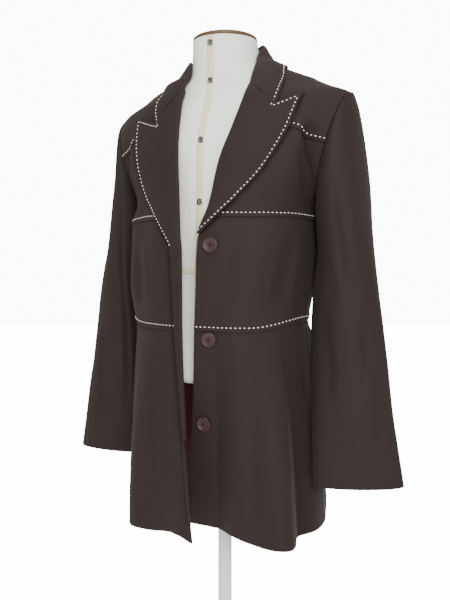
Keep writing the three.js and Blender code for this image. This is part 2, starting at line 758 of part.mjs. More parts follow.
// The collar goes round the neck in one piece, from one gorge seam to the other
function collarPiece() {
  const outer = [];
  const inner = [];
  const backSteps = 5;
  const frontSteps = 6;
  const steps = backSteps + frontSteps;
  for (let step = -steps; step <= steps; step += 1) {
    const side = step < 0 ? RIGHT : LEFT;
    const gorge = gorgeLine(side);
    const frontLine = surfaceLine(side, COLLAR_FRONT[sideName(side)]);
    const backAngle = mix(180, SIDE_SEAM, Math.min(Math.abs(step) / backSteps, 1));
    const front = Math.max((Math.abs(step) - backSteps) / frontSteps, 0);
    const atGorge = smoothstep(0.55, 1, front);
    const gap = front === 1 ? SEAM + 0.2 : 0;
    const rollAngle = mix(backAngle, gorge(0)[0], front);
    const roll = [
      rollAngle,
      mix(lookUp(COLLAR, `${sideName(side)}Roll`, rollAngle), GORGE[sideName(side)][1], atGorge),
    ];
    const backEdge = [backAngle, lookUp(COLLAR, `${sideName(side)}Edge`, backAngle)];
    const edge = front > 0 ? frontLine(front) : backEdge;
    const foot = neckSeamZ(side, rollAngle) + 0.6;
    const standHeight = Math.max(roll[1] - foot, 1);
    const [outerRow, innerRow] = [[], []];
    for (const height of [0, 0.5, 0.9]) {
      const place = [rollAngle, foot + height * standHeight];
      outerRow.push(lifted(side, ...place, -CLOTH));
      innerRow.push(lifted(side, ...place, 0));
    }
    const normal = surfaceNormal(side, ...roll);
    const top = surfacePoint(side, ...roll);
    const past = top.clone().sub(surfacePoint(side, ...edge));
    past.addScaledVector(normal, -past.dot(normal)).normalize();
    const bent = (beyond, lift) => {
      const point = top.clone().addScaledVector(past, beyond);
      return point.addScaledVector(normal, lift);
    };
    outerRow.push(bent(2.4, 0.8), bent(0.8, 3.8));
    innerRow.push(bent(0.4, 0.6), bent(0, 1.8));
    for (let i = 1; i <= GORGE_COLUMNS; i += 1) {
      const u = i / GORGE_COLUMNS;
      const straight = [0, 1].map((k) => mix(roll[k], edge[k], u));
      const place = [0, 1].map((k) => mix(straight[k], gorge(u)[k], front === 1 ? 1 : 0));
      const lift = COLLAR_CLEAR + COLLAR_BULGE * Math.sin(Math.PI * u);
      outerRow.push(lifted(side, place[0], place[1] + gap, lift + CLOTH));
      innerRow.push(lifted(side, place[0], place[1] + gap, lift));
    }
    outer.push(outerRow);
    inner.push(innerRow);
  }
  return wallMesh('collar', outer, inner, 'suiting');
}

// One half of a sleeve, a stretch of the tube round its rings
function sleeveHalf(side, name, from, to, columns) {
  const table = SLEEVES[sideName(side)].rows;
  const outer = [];
  const inner = [];
  table.forEach(([x, y, z, across, rise, deep, turn], ring) => {
    const shift = ring === 0 ? SEAM + 0.1 : 0;
    const [cosine, sine] = [Math.cos(radians(turn)), Math.sin(radians(turn))];
    const long = new THREE.Vector3(across * cosine, across * sine, rise);
    const wide = new THREE.Vector3(deep * sine, -deep * cosine, 0);
    const axis = wide.clone().cross(long).normalize();
    if (axis.x < 0) axis.negate();
    const centre = new THREE.Vector3(x, y, z).addScaledVector(axis, shift);
    const [outerRow, innerRow] = [[], []];
    for (let i = 0; i <= columns; i += 1) {
      const inset = (i === 0 ? 1 : 0) - (i === columns ? 1 : 0);
      const turnAngle = radians(mix(from, to, i / columns) + inset * 0.2);
      const ringPoint = (wall) => {
        const point = centre.clone();
        point.addScaledVector(long, Math.cos(turnAngle) * (1 - wall / long.length()));
        point.addScaledVector(wide, Math.sin(turnAngle) * (1 - wall / wide.length()));
        return leaned(new THREE.Vector3(point.x * side, point.y, point.z));
      };
      outerRow.push(ringPoint(0));
      innerRow.push(ringPoint(CLOTH));
    }
    outer.push(outerRow);
    inner.push(innerRow);
  });
  return wallMesh(`${name}_${sideName(side)}`, outer, inner, 'suiting');
}

function toSolid(geometry) {
  const bare = geometry.clone();
  bare.deleteAttribute('normal');
  bare.deleteAttribute('uv');
  const merged = mergeVertices(bare, 1e-4);
  const mesh = new wasm.Mesh({
    numProp: 3,
    vertProperties: new Float32Array(merged.attributes.position.array),
    triVerts: new Uint32Array(merged.index.array),
  });
  return new wasm.Manifold(mesh);
}

function fromSolid(solid) {
  const mesh = solid.getMesh();
  const geometry = new THREE.BufferGeometry();
  geometry.setAttribute('position', new THREE.Float32BufferAttribute(mesh.vertProperties, 3));
  geometry.setIndex(Array.from(mesh.triVerts));
  geometry.computeVertexNormals();
  return geometry;
}

// A turned piece about its own Y axis, from a profile of radius and height
function turnedGeometry(profile, segments) {
  return new THREE.LatheGeometry(profile.map(([r, h]) => new THREE.Vector2(r, h)), segments);
}

// Button with a raised rim and four thread holes
function buttonGeometry() {
  const [r, t] = [BUTTON_RADIUS, BUTTON_THICKNESS];
  const profile = [
    [0, 0],
    [r - 1.5, 0],
    [r, 1.2],
    [r, t - 1],
    [r - 1, t],
    [r - 2.6, t],
    [r - 3.6, t - 1.3],
    [0, t - 1.3],
  ];
  let button = toSolid(turnedGeometry(profile, 18));
  for (const x of [-1.9, 1.9]) {
    for (const z of [-1.9, 1.9]) {
      const hole = new THREE.CylinderGeometry(0.9, 0.9, t * 3, 6).translate(x, 0, z);
      button = button.subtract(toSolid(hole));
    }
  }
  return fromSolid(button);
}

// Sets a piece that was made along +Y on a face, with its axis along the normal
function seat(mesh, point, normal) {
  mesh.position.copy(point);
  mesh.quaternion.setFromUnitVectors(new THREE.Vector3(0, 1, 0), normal);
  return mesh;
}

function buttonPieces() {
  return BUTTONS.map(({ name, x, z }) => {
    const angle = angleAt(LEFT, x, z);
    const normal = surfaceNormal(LEFT, angle, z);
    const foot = surfacePoint(LEFT, angle, z).addScaledVector(normal, BUTTON_SEAT);
    return seat(namedMesh(name, buttonGeometry(), 'button'), foot, normal);
  });
}

// Point of the dress form's skin
function formPoint(angle, z) {
  const middle = lookUp(FORM, 'middle', z);
  const isFront = Math.abs(angle) <= 90;
  const depth = isFront ? middle - lookUp(FORM, 'front', z) : lookUp(FORM, 'back', z) - middle;
  const sine = Math.sin(radians(angle));
  const cosine = Math.cos(radians(angle));
  const square = isFront ? Math.min(lookUp(BODY, 'square', z), 2) : 2;
  const width = lookUp(FORM, 'half', z);
  const radius = (Math.abs(sine / width) ** square + Math.abs(cosine / depth) ** square)
    ** (-1 / square);
  return leaned(new THREE.Vector3(radius * sine, middle - radius * cosine, z), 0);
}

function formPiece() {
  const around = 26;
  const heights = [];
  for (let z = FORM_BOTTOM_Z; z < SHOULDER_TIP_Z - 20; z += 30) heights.push(z);
  heights.push(1320, 1333, 1345, 1357, 1367, 1374, 1381, 1387, 1394, 1401, 1408, 1415, 1428);
  heights.push(FORM_TOP_Z);
  const positions = [];
  const index = [];
  for (const z of heights) {
    for (let i = 0; i < around; i += 1) positions.push(...formPoint(i * 360 / around - 180, z).toArray());
  }
  for (let j = 0; j < heights.length - 1; j += 1) {
    for (let i = 0; i < around; i += 1) {
      const [a, b] = [j * around + i, j * around + (i + 1) % around];
      index.push(a, b, b + around, a, b + around, a + around);
    }
  }
  for (const j of [0, heights.length - 1]) {
    const centre = positions.length / 3;
    positions.push(0, lookUp(FORM, 'middle', heights[j]), heights[j]);
    for (let i = 0; i < around; i += 1) {
      const [a, b] = [j * around + i, j * around + (i + 1) % around];
      index.push(centre, ...(j === 0 ? [b, a] : [a, b]));
    }
  }
  return solidMesh('form_body', positions, index, 'linen');
}

function standPieces() {
  const upright = (mesh, z, y = 0) => {
    mesh.rotation.x = Math.PI / 2;
    mesh.position.set(0, y, z);
    return mesh;
  };
  const capProfile = [
    [0, 0],
    [NECK_RADIUS - 1, 0],
    [NECK_RADIUS, 2],
    [NECK_RADIUS - 1, 5],
    [NECK_RADIUS - 8, CAP_HEIGHT - 2],
    [NECK_RADIUS - 22, CAP_HEIGHT],
    [0, CAP_HEIGHT],
  ];
  const baseProfile = [
    [0, 0],
    [BASE_RADIUS, 0],
    [BASE_RADIUS, BASE_THICKNESS - 3],
    [BASE_RADIUS - 3, BASE_THICKNESS],
    [0, BASE_THICKNESS],
  ];
  const socketProfile = [
    [0, 0],
    [30, 0],
    [28, 5],
    [POLE_RADIUS + 6, 9],
    [POLE_RADIUS + 6, SOCKET_HEIGHT - 2],
    [POLE_RADIUS + 4, SOCKET_HEIGHT],
    [0, SOCKET_HEIGHT],
  ];
  const socketTop = BASE_THICKNESS + SEAM + SOCKET_HEIGHT;
  const poleLength = FORM_BOTTOM_Z - SEAM - socketTop - SEAM;
  const pole = new THREE.CylinderGeometry(POLE_RADIUS, POLE_RADIUS, poleLength, 20);
  const cap = turnedGeometry(capProfile, 30);
  const socket = turnedGeometry(socketProfile, 20);
  const base = turnedGeometry(baseProfile, 36);
  const neckMiddle = lookUp(FORM, 'middle', FORM_TOP_Z);
  return [
    upright(namedMesh('neck_cap', cap, 'wood'), FORM_TOP_Z + SEAM, neckMiddle),
    upright(namedMesh('pole', pole, 'paint'), socketTop + SEAM + poleLength / 2),
    upright(namedMesh('pole_socket', socket, 'paint'), BASE_THICKNESS + SEAM),
    upright(namedMesh('base', base, 'paint'), 0),
  ];
}

// Domed studs down the front of the form
function studPieces() {
  return STUD_HEIGHTS.map((z, i) => {
    const r = STUD_RADIUS;
    const stud = turnedGeometry([[0, 0], [r, 0], [r, 0.6], [r * 0.7, 1.7], [0, 2.2]], 12);
    const slope = formPoint(0, z + 2).sub(formPoint(0, z - 2));
    const normal = new THREE.Vector3(0, -slope.z, slope.y).normalize();
    const foot = formPoint(0, z).addScaledVector(normal, SEAM);
    return seat(namedMesh(`stud_${i + 1}`, stud, 'steel'), foot, normal);
  });
}

const blazer = new THREE.Group();
for (const side of [LEFT, RIGHT]) {
  blazer.add(...frontPieces(side), ...backPieces(side), liningPiece(side), lapelPiece(side));
  blazer.add(sleeveHalf(side, 'sleeve_top', -78, 158, 13));
  blazer.add(sleeveHalf(side, 'sleeve_under', 158, 282, 7));
}
blazer.add(collarPiece(), ...buttonPieces());
blazer.add(formPiece(), ...standPieces(), ...studPieces());

export default blazer;
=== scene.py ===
"""A long blazer worn on a limbless dress form, dressed over its solid parts."""
import math

import bmesh
import bpy
import numpy as np
from mathutils import Matrix, Vector


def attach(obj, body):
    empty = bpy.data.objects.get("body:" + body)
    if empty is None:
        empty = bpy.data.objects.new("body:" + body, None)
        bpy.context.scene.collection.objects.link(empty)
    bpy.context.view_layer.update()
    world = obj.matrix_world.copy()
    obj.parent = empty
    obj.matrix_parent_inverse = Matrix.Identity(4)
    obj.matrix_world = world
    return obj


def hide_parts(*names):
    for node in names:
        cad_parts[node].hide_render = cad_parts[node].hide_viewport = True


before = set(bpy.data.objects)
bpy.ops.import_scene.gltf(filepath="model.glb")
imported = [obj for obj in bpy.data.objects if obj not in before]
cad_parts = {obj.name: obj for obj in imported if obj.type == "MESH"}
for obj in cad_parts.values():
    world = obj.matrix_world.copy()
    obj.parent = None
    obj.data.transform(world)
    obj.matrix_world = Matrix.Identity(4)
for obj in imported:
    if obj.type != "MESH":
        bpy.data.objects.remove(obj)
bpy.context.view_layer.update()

bl_info = {
    "name": "Blazer on a dress form",
    "version": (1, 0, 0),
    "blender": (4, 5, 0),
    "location": "View3D > Sidebar > Blazer",
    "description": "Builds the cloth, the sewing, the buttons and the dress form of a long blazer",
    "category": "Object",
}

# Sizes of the pattern are in millimetres and degrees round the body: 0 is the front and
# 180 the back. The finished meshes are in metres.
MM = 0.001
LEFT, RIGHT = 1, -1
# Name of the attribute that carries the painted shade of the cloth: folds, creases and shadows beside the
# lapels
FOLD_SHADE = "fold shade"
SEAM = 0.04
STAND_GAP = 0.3
UNDERARM_Z, SHOULDER_TIP_Z, NECK_POINT_Z = 1165, 1333, 1401
SIDE_SEAM, CENTRE_BACK, SIDE_FOLD = 90, 180, 62
NECK_RADIUS, CAP_HEIGHT = 54.5, 11
FORM_BOTTOM_Z, FORM_TOP_Z = 883, 1441
FORM_END_SHARES = (0.985, 0.9, 0.5, 0.02)
POLE_RADIUS, BASE_RADIUS, BASE_THICKNESS, SOCKET_HEIGHT = 11.5, 170, 10, 42
BUTTON_RADIUS, BUTTON_THICKNESS, BUTTON_SEAT = 11.5, 4, 0.45
SHOULDER_LEAN, SHOULDER_SHIFT = 0.035, 3.5
FOLD_FADE, CREASE_TAPER, MM_PER_DEGREE = 90, 0.35, 2.7
# Painted shadow on the front beside each lapel's outer edge: its darkness, and its width in millimetres on
# each side
LAPEL_SHADE, LAPEL_SHADE_WIDTH = 0.95, {LEFT: 4.5, RIGHT: 7}
NECK_EASE = 2.4
COLLAR_CLEAR, COLLAR_BULGE, COLLAR_FOOT = 2.8, 2.5, 0.6
# Millimetres round the neck to one degree, and one to one in height
NECK_UNITS = (2.2, 1)
LAPEL_CLEAR, LAPEL_BULGE, ROLL_GAP = 1.1, 2.2, 1.3
LAPEL_WIDTH, COLLAR_WIDTH = 110, 70
LINING_GAP, LINING_TOP_Z = 3, 940
LAPEL_STITCH_FOOT_Z = 1098
TURNED_CLOTH = 2.2
EDGE_INSET, SEAM_INSET, GROOVE_WIDTH, GROOVE_DEPTH = 6, 7, 1.1, 0.45
STUD_RADIUS = 5.8
STUD_HEIGHTS = (1428, 1367, 1266, 1168)
BUTTONS = (("top", 36, 1100), ("middle", 33, 957), ("bottom", 18, 825))


def smoothstep(start, full, value):
    share = np.clip((value - start) / (full - start), 0, 1)
    return share * share * (3 - 2 * share)


def bell(offset, width):
    """A soft bump: 1 in its middle, and fading to both sides over the width."""
    return np.exp(-((offset / width) ** 2))


def smooth_between(places, values, at):
    """Value of a smooth curve through values, read at any place."""
    last = len(places) - 1
    at = np.clip(at, places[0], places[-1])
    low = np.clip(np.searchsorted(places, at) - 1, 0, last - 1)
    before = np.maximum(np.arange(last + 1) - 1, 0)
    after = np.minimum(np.arange(last + 1) + 1, last)
    slope = (values[after] - values[before]) / (places[after] - places[before])
    step = places[low + 1] - places[low]
    t = (at - places[low]) / step
    rest = 1 - t
    start = values[low] * (1 + 2 * t) * rest * rest
    finish = values[low + 1] * (3 - 2 * t) * t * t
    bend = step * t * rest * (slope[low] * rest - slope[low + 1] * t)
    return start + finish + bend


class Table:
    """Rows of sizes under named columns, read smoothly by the first column."""

    def __init__(self, columns, rows):
        self.columns = columns.split()
        self.rows = np.array(rows, float)

    def at(self, column, place):
        values = self.rows[:, self.columns.index(column)]
        return smooth_between(self.rows[:, 0], values, np.asarray(place, float))

    def line(self, x, z):
        """The points of one edge, from the columns x and z, without the rows left empty."""
        points = self.rows[:, [self.columns.index(x), self.columns.index(z)]]
        return points[~np.isnan(points[:, 0])]


# Sections of the worn blazer: half widths, furthest Y, Y of the widest point and roundness
BODY = Table("z left right front back middle square", [
    (640, 172, 154, -128, 142, 0, 2.9),
    (720, 168, 155, -129, 138, -2, 2.8),
    (800, 162, 156, -130, 132, -5, 2.6),
    (900, 154, 149, -131, 116, -11, 2.3),
    (976, 147.5, 142, -131, 100, -16, 2.15),
    (1040, 150.5, 143, -130, 99, -10, 2.1),
    (1100, 156.5, 146, -127, 102, 2, 2.1),
    (1150, 157, 154.5, -118, 106, 16, 2.05),
    (1165, 158, 158, -115, 107, 20, 2),
    (1209, 180, 180, -106, 105, 20, 2),
    (1249, 200, 200, -97, 102, 20, 2),
    (1279, 205, 205, -89, 99, 20, 1.9),
    (1333, 209, 209, -75, 92, 20, 1.75),
    (1350, 176, 174, -69, 88, 20, 1.68),
    (1360, 158, 157, -66, 86, 20, 1.65),
    (1367, 147, 138, -64, 84, 20, 1.65),
    (1374, 133, 104, -61.5, 82, 20, 1.66),
    (1387, 107, 85, -57, 78, 20, 1.7),
    (1401, 78, 70, -51, 73, 20, 1.9),
    (1413, 68, 63, -47, 71, 20, 2),
    (1430, 60, 58, -47, 71, 20, 2),
    (1445, 56, 56, -47, 71, 20, 2),
])

# Sections of the dress form
FORM = Table("z half front back middle", [
    (883, 136, -100, 90, -5),
    (930, 132, -100, 84, -8),
    (976, 128, -98, 80, -9),
    (1040, 130, -96, 80, -8),
    (1100, 138, -93, 88, -2),
    (1168, 148, -90, 97, 4),
    (1209, 158, -89, 96, 10),
    (1266, 172, -86, 92, 17),
    (1300, 182, -74, 88, 19),
    (1333, 190, -60, 84, 20),
    (1345, 168, -56, 78, 20),
    (1357, 148, -54, 73, 20),
    (1367, 122, -53, 70, 20),
    (1374, 90, -52, 69, 19),
    (1387, 74, -51, 68, 17),
    (1401, 61, -52, 66, 11),
    (1415, 57, -53, 63, 6),
    (1441, 54, -54, 55, 0.5),
])

# Each front's end: x of the roll line above the break and of the front edge below it
FRONT_EDGE = Table("z left right", [
    (650, -32, -14),
    (700, -28, -8.5),
    (750, -19, -3),
    (790, -9, 2),
    (834, -3, 6),
    (900, 3.5, 10.5),
    (976, 9, 13),
    (1033, 12.5, 14),
    (1092, 13.5, 16),
    (1115, 15, 20),
    (1160, 30, 27),
    (1231, 41, 38),
    (1280, 55, 44),
    (1324, 67, 46),
    (1352, 72, 45),
])

# Seam between yoke and chest: it steps down over the fold edge of the chest
YOKE_SEAM = Table("angle z", [
    (30, 1281),
    (54, 1279.5),
    (60, 1279),
    (62.5, 1275),
    (65, 1267.5),
    (68, 1262),
    (77, 1252),
])

# Free outer edge of each lapel, from its foot to its peak
NONE = float("nan")
LAPEL_EDGE = Table("left_x left_z right_x right_z", [
    (18, 1117, -12, 680),
    (47, 1148, -3, 769),
    (76, 1181, 9, 833),
    (106, 1217, 20, 940),
    (135, 1267, 28, 1040),
    (154, 1330, 33, 1098),
    (NONE, NONE, 55, 1128),
    (NONE, NONE, 76, 1151),
    (NONE, NONE, 103, 1184),
    (NONE, NONE, 121, 1222),
    (NONE, NONE, 132, 1264),
    (NONE, NONE, 137, 1317),
])
NOTCH = {LEFT: (118, 1316), RIGHT: (90, 1299)}
GORGE = {LEFT: (72, 1352), RIGHT: (45, 1352)}

# Free edge of the collar in front, from the shoulder to the notch
COLLAR_FRONT = Table("left_x left_z right_x right_z", [
    (106, 1389, 97, 1379),
    (115, 1373, 89, 1368),
    (121, 1352, 90, 1349),
    (121, 1333, 96, 1332),
    (118, 1316, 96, 1317),
    (NONE, NONE, 90, 1299),
])

# Collar, by angle round the neck: free edge, roll and the neckline seam below the stand
COLLAR = Table("angle left_edge right_edge left_roll right_roll left_seam right_seam", [
    (31, 1320, 1320, 1340, 1352, 1334, 1350),
    (35, 1324, 1324, 1343, 1393, 1336, 1356),
    (41, 1329, 1329, 1350, 1400, 1341, 1363),
    (48, 1336, 1336, 1372, 1405, 1358, 1371),
    (55, 1348, 1348, 1391, 1407, 1375, 1380),
    (64, 1364, 1364, 1404, 1408, 1389, 1389),
    (90, 1389, 1379, 1426, 1414, 1400.5, 1400.5),
    (120, 1385, 1380, 1441, 1429, 1403, 1403),
    (150, 1378, 1376, 1441, 1439, 1403, 1403),
    (180, 1374, 1374, 1440, 1440, 1403, 1403),
])

# Roll of the collar in front, from the shoulder to the gorge seam
COLLAR_ROLL = Table("left_angle left_z right_angle right_z", [
    (90, 1426, 90, 1414),
    (77, 1421, 64, 1409),
    (66, 1408.5, 48, 1405),
    (56, 1393.5, 40, 1398),
    (49, 1379.5, 35.5, 1386),
    (45.5, 1369, 33, 1370),
])

# The chest dives in beside the armhole: its fold edge, by height, and how deep it goes
HOLLOWS = {
    LEFT: Table("z edge depth", [
        (1150, 86, 0),
        (1171, 82, 1.2),
        (1190, 74.5, 4),
        (1226, 67.5, 7),
        (1249, 64.6, 7.5),
        (1269, 63.2, 6.5),
        (1284, 64.5, 2.5),
        (1305, 66, 0.6),
        (1328, 66, 0),
    ]),
    RIGHT: Table("z edge depth", [
        (1150, 84, 0),
        (1175, 80, 1.5),
        (1195, 72, 3.5),
        (1230, 65, 4.5),
        (1262, 63, 4),
        (1300, 64, 1.5),
        (1325, 64, 0),
    ]),
}

# Large folds: they grow from the height start to the height full, and fade out at end
FOLDS = Table("side angle spread start full amount end", [
    (LEFT, 55, 9, 960, 660, 20, NONE),
    (LEFT, 70, 7, 1000, 690, -15, NONE),
    (LEFT, 88, 9, 900, 660, 3, NONE),
    (LEFT, 112, 16, 978, 958, 6, 800),
    (LEFT, 57, 6, 1280, 1235, 3, 1150),
    (LEFT, 65, 4.5, 1285, 1235, -4, 1190),
    (LEFT, 110, 22, 1150, 1080, 10, 960),
    (RIGHT, 62, 10.5, 1200, 1130, 14, 950),
    (RIGHT, 42, 9, 960, 670, 10, NONE),
    (RIGHT, 62, 9, 980, 680, -10, NONE),
    (RIGHT, 0, 13, 900, 660, 14, NONE),
    (LEFT, 118, 10, 950, 680, 8, NONE),
    (LEFT, 146, 10, 950, 680, -7, NONE),
    (RIGHT, 112, 10, 950, 680, 7, NONE),
    (RIGHT, 138, 11, 950, 680, -8, NONE),
])
# The left front tucks in behind the right one
TUCK = {"start": 1080, "full": 660, "amount": 31, "inside": 20, "outside": 37}

# Creases, one by one: a soft trough (minus) or ridge from one place to another. The bow
# bends it sideways, in degrees, and the spread is its half width, in degrees.
CREASES = Table("side angle z to_angle to_z spread depth bow", [
    (LEFT, 62, 1262, 71, 1165, 3.2, -3.0, 0),
    (LEFT, 50, 1258, 56, 1120, 5, 1.2, 1),
    (LEFT, 66, 1130, 58, 990, 5, -1.8, 2),
    (LEFT, 50, 1120, 44, 985, 6, 1.5, -2),
    (LEFT, 33, 1135, 30, 990, 6, -1.1, 2),
    (LEFT, 74, 1125, 74, 975, 3.5, 1.8, -1),
    (LEFT, 40, 950, 33, 720, 6, 1.3, 2),
    (LEFT, 27, 930, 22, 680, 5, -1.2, -1),
    (LEFT, 46, 900, 45, 670, 3.2, -1.6, -1),
    (LEFT, 62, 960, 61, 700, 3, 1.6, 1),
    (LEFT, 78, 955, 82, 690, 3.5, -2.2, 1),
    (RIGHT, 56, 1110, 50, 990, 4.5, -1.8, -2),
    (RIGHT, 44, 1120, 40, 985, 5, 1.3, 1),
    (RIGHT, 70, 1130, 74, 985, 4, 1.5, 1),
    (RIGHT, 30, 960, 26, 700, 4, -1.2, 1),
    (RIGHT, 52, 955, 54, 690, 3.2, -1.9, 1),
    (RIGHT, 36, 940, 38, 690, 4, 1.1, -1),
    (RIGHT, 74, 950, 76, 680, 4, 2.0, 1),
    (LEFT, 100, 1150, 128, 1020, 6, -2.0, 4),
    (LEFT, 124, 1290, 138, 1120, 7, 1.7, 3),
    (LEFT, 150, 1240, 160, 1000, 7, -1.4, 3),
    (LEFT, 132, 960, 130, 700, 5, -2.4, 2),
    (LEFT, 166, 950, 168, 710, 5, 2.0, -2),
    (LEFT, 104, 950, 103, 700, 5, -2.0, 2),
    (RIGHT, 104, 1140, 130, 1010, 6, -1.8, 4),
    (RIGHT, 120, 1300, 140, 1130, 7, 1.5, 3),
    (RIGHT, 156, 1230, 152, 1010, 7, -1.2, -3),
    (RIGHT, 126, 955, 124, 690, 5, 2.1, 2),
    (RIGHT, 160, 945, 163, 700, 5, -2.0, 2),
    (RIGHT, 98, 950, 97, 700, 5, -1.7, 2),
])

# Sleeve rings from the armhole to the cuff: centre, half width across, its rise, half depth
# and the turn of the flat cloth
SLEEVE_COLUMNS = "x y z across rise deep turn"
SLEEVES = {
    LEFT: Table(SLEEVE_COLUMNS, [
        (183.5, 20, 1249, 25.5, 84, 55, 0),
        (185, 20.5, 1248, 26.5, 86, 57, 0),
        (186.5, 21, 1242.5, 27, 86, 60, 0),
        (188.5, 22, 1233, 29, 82, 63, 0),
        (190.5, 23, 1214, 32.5, 72, 66, 0),
        (194.5, 24, 1187, 35.5, 57, 68, 0),
        (199, 23, 1152, 39, 38, 67, 0),
        (203, 19, 1103, 42, 20, 61, 2),
        (206, 9, 1042, 49.5, 8, 50, 6),
        (212, -2, 966, 56, 3, 39, 14),
        (218, -8, 905, 59, 1, 33, 18),
        (223, -14, 847, 62, 0, 28, 22),
        (229, -18, 790, 66, -1, 24, 24),
        (235, -22.5, 735, 70, -1, 20, 26),
    ]),
    RIGHT: Table(SLEEVE_COLUMNS, [
        (183.5, 20, 1249, 25.5, 84, 55, 0),
        (184.5, 20.5, 1248, 25.5, 86, 57, 0),
        (186, 21, 1242.5, 27, 86, 60, 0),
        (186.5, 22, 1233, 28, 82, 63, 0),
        (186.5, 23, 1214, 29, 72, 66, 0),
        (187, 24, 1187, 30, 57, 68, 0),
        (188.5, 23, 1152, 32, 38, 67, 0),
        (191, 19, 1103, 36.5, 20, 61, 2),
        (201.5, 15, 1040, 46.5, 8, 50, 0),
        (209, 16, 970, 52, 4, 43, -2),
        (216, 15, 905, 55, 3, 37, -4),
        (224, 14, 845, 58, 2, 31, -6),
        (228, 13, 785, 62, 1, 27, -7),
        (232, 12, 727, 66, 1, 23, -8),
    ]),
}
ARMHOLE = {"x": 183.5, "z": 1249, "across": 25.5, "rise": 84, "deep": 55}

# Creases of the sleeves, by the turn round the sleeve and the length from the shoulder
SLEEVE_CREASES = Table("side turn run to_turn to_run spread depth bow", [
    (LEFT, 40, 40, 52, 250, 13, 1.6, 4),
    (LEFT, 78, 60, 70, 260, 9, -2.0, -3),
    (LEFT, 100, 120, 88, 300, 8, 1.6, 3),
    (LEFT, 62, 290, 74, 400, 10, -1.8, 5),
    (LEFT, 92, 330, 96, 500, 9, 1.5, 3),
    (LEFT, 50, 380, 60, 520, 9, -1.4, -3),
    (LEFT, 128, 180, 120, 380, 10, -2.0, 4),
    (LEFT, 20, 300, 24, 480, 11, 1.4, 3),
    (LEFT, 190, 150, 210, 330, 12, -2.0, 5),
    (LEFT, 250, 120, 240, 360, 12, -1.8, 5),
    (LEFT, 330, 200, 320, 420, 12, -1.6, 5),
    (RIGHT, 50, 70, 60, 240, 11, 1.6, -4),
    (RIGHT, 92, 30, 122, 430, 5, -5, -6),
    (RIGHT, 103, 50, 134, 440, 8, 3.5, -6),
    (RIGHT, 110, 150, 118, 400, 9, 1.8, 4),
    (RIGHT, 66, 300, 74, 500, 10, -1.4, 4),
    (RIGHT, 32, 260, 26, 460, 10, 1.5, -4),
    (RIGHT, 190, 150, 205, 340, 12, -2.0, 5),
    (RIGHT, 250, 150, 242, 360, 12, -1.8, 5),
    (RIGHT, 330, 200, 322, 430, 12, -1.6, 5),
])


def unit(vectors):
    return vectors / np.maximum(np.linalg.norm(vectors, axis=-1, keepdims=True), 1e-9)


def side_name(side):
    return "left" if side == LEFT else "right"


def leaned(points, shift=SHOULDER_SHIFT):
    """The worn shoulders stand a little higher on the left, and lie a little to that side."""
    x, y, z = points[..., 0], points[..., 1], points[..., 2]
    raised = smoothstep(1150, 1330, z) * smoothstep(60, 200, np.abs(x))
    moved = smoothstep(1100, 1300, z) * (1 - smoothstep(1370, 1410, z))
    return np.stack([x + shift * moved, y, z + SHOULDER_LEAN * x * raised], -1)


def armhole_at(z):
    up = np.clip((z - ARMHOLE["z"]) / ARMHOLE["rise"], -1, 1)
    return ARMHOLE["x"] + ARMHOLE["across"] * up, ARMHOLE["deep"] * np.sqrt(1 - up * up)


def half_width(side, z, depth, square):
    """Half width of a section, made so that front and back pass through the armhole."""
    hole_x, reach = armhole_at(z)
    ratio = np.clip(reach / depth, 0, 0.999)
    through_hole = hole_x / (1 - ratio ** square) ** (1 / square)
    in_hole = (z > UNDERARM_Z) & (z < SHOULDER_TIP_Z)
    return np.where(in_hole, through_hole, BODY.at(side_name(side), z))


def fold_at(side, angle, z):
    total = np.zeros(np.broadcast(angle, z).shape)
    for own, at, spread, start, full, amount, end in FOLDS.rows:
        if own != side:
            continue
        kept = 1 if math.isnan(end) else smoothstep(end, end + FOLD_FADE, z)
        total += amount * smoothstep(start, full, z) * kept * bell(angle - at, spread)
    return total


def tuck_at(side, angle, z):
    tucked = 1 - smoothstep(TUCK["inside"], TUCK["outside"], angle)
    return -TUCK["amount"] * smoothstep(TUCK["start"], TUCK["full"], z) * tucked * (side == LEFT)


def crease_depths(rows, x, y, per_y):
    """Sum of soft troughs and ridges, each along its own line. per_y makes y the same unit as x."""
    total = np.zeros(np.broadcast(x, y).shape)
    for start_x, start_y, end_x, end_y, spread, depth, bow in rows:
        along = np.array([end_x - start_x, (end_y - start_y) * per_y])
        length = np.hypot(*along)
        off_x, off_y = x - start_x, (y - start_y) * per_y
        t = (off_x * along[0] + off_y * along[1]) / length ** 2
        across = (off_y * along[0] - off_x * along[1]) / length
        across = across - bow * np.sin(np.pi * np.clip(t, 0, 1))
        taper = smoothstep(0, CREASE_TAPER, t) * (1 - smoothstep(1 - CREASE_TAPER, 1, t))
        total += depth * taper * bell(across, spread)
    return total


def crease_at(side, angle, z):
    rows = [row[1:] for row in CREASES.rows if row[0] == side]
    return crease_depths(rows, angle, z, 1 / MM_PER_DEGREE)


def hollow_at(side, angle, z):
    """The dent between the fold edge of the chest and the armhole seam."""
    table = HOLLOWS[side]
    edge, depth = table.at("edge", z), table.at("depth", z)
    seam = armhole_angle(z, True)
    room = np.maximum(seam - edge, 1)
    past = angle - edge
    dips_in, is_deep, runs_out = -0.3, 2.6, 0.25
    ridge_share, ridge_before, ridge_spread = 0.22, 3, 3.5
    dent = smoothstep(dips_in, is_deep, past) * (1 - smoothstep(runs_out, 1, past / room))
    ridge = ridge_share * bell(past + ridge_before, ridge_spread)
    return depth * (ridge - dent)


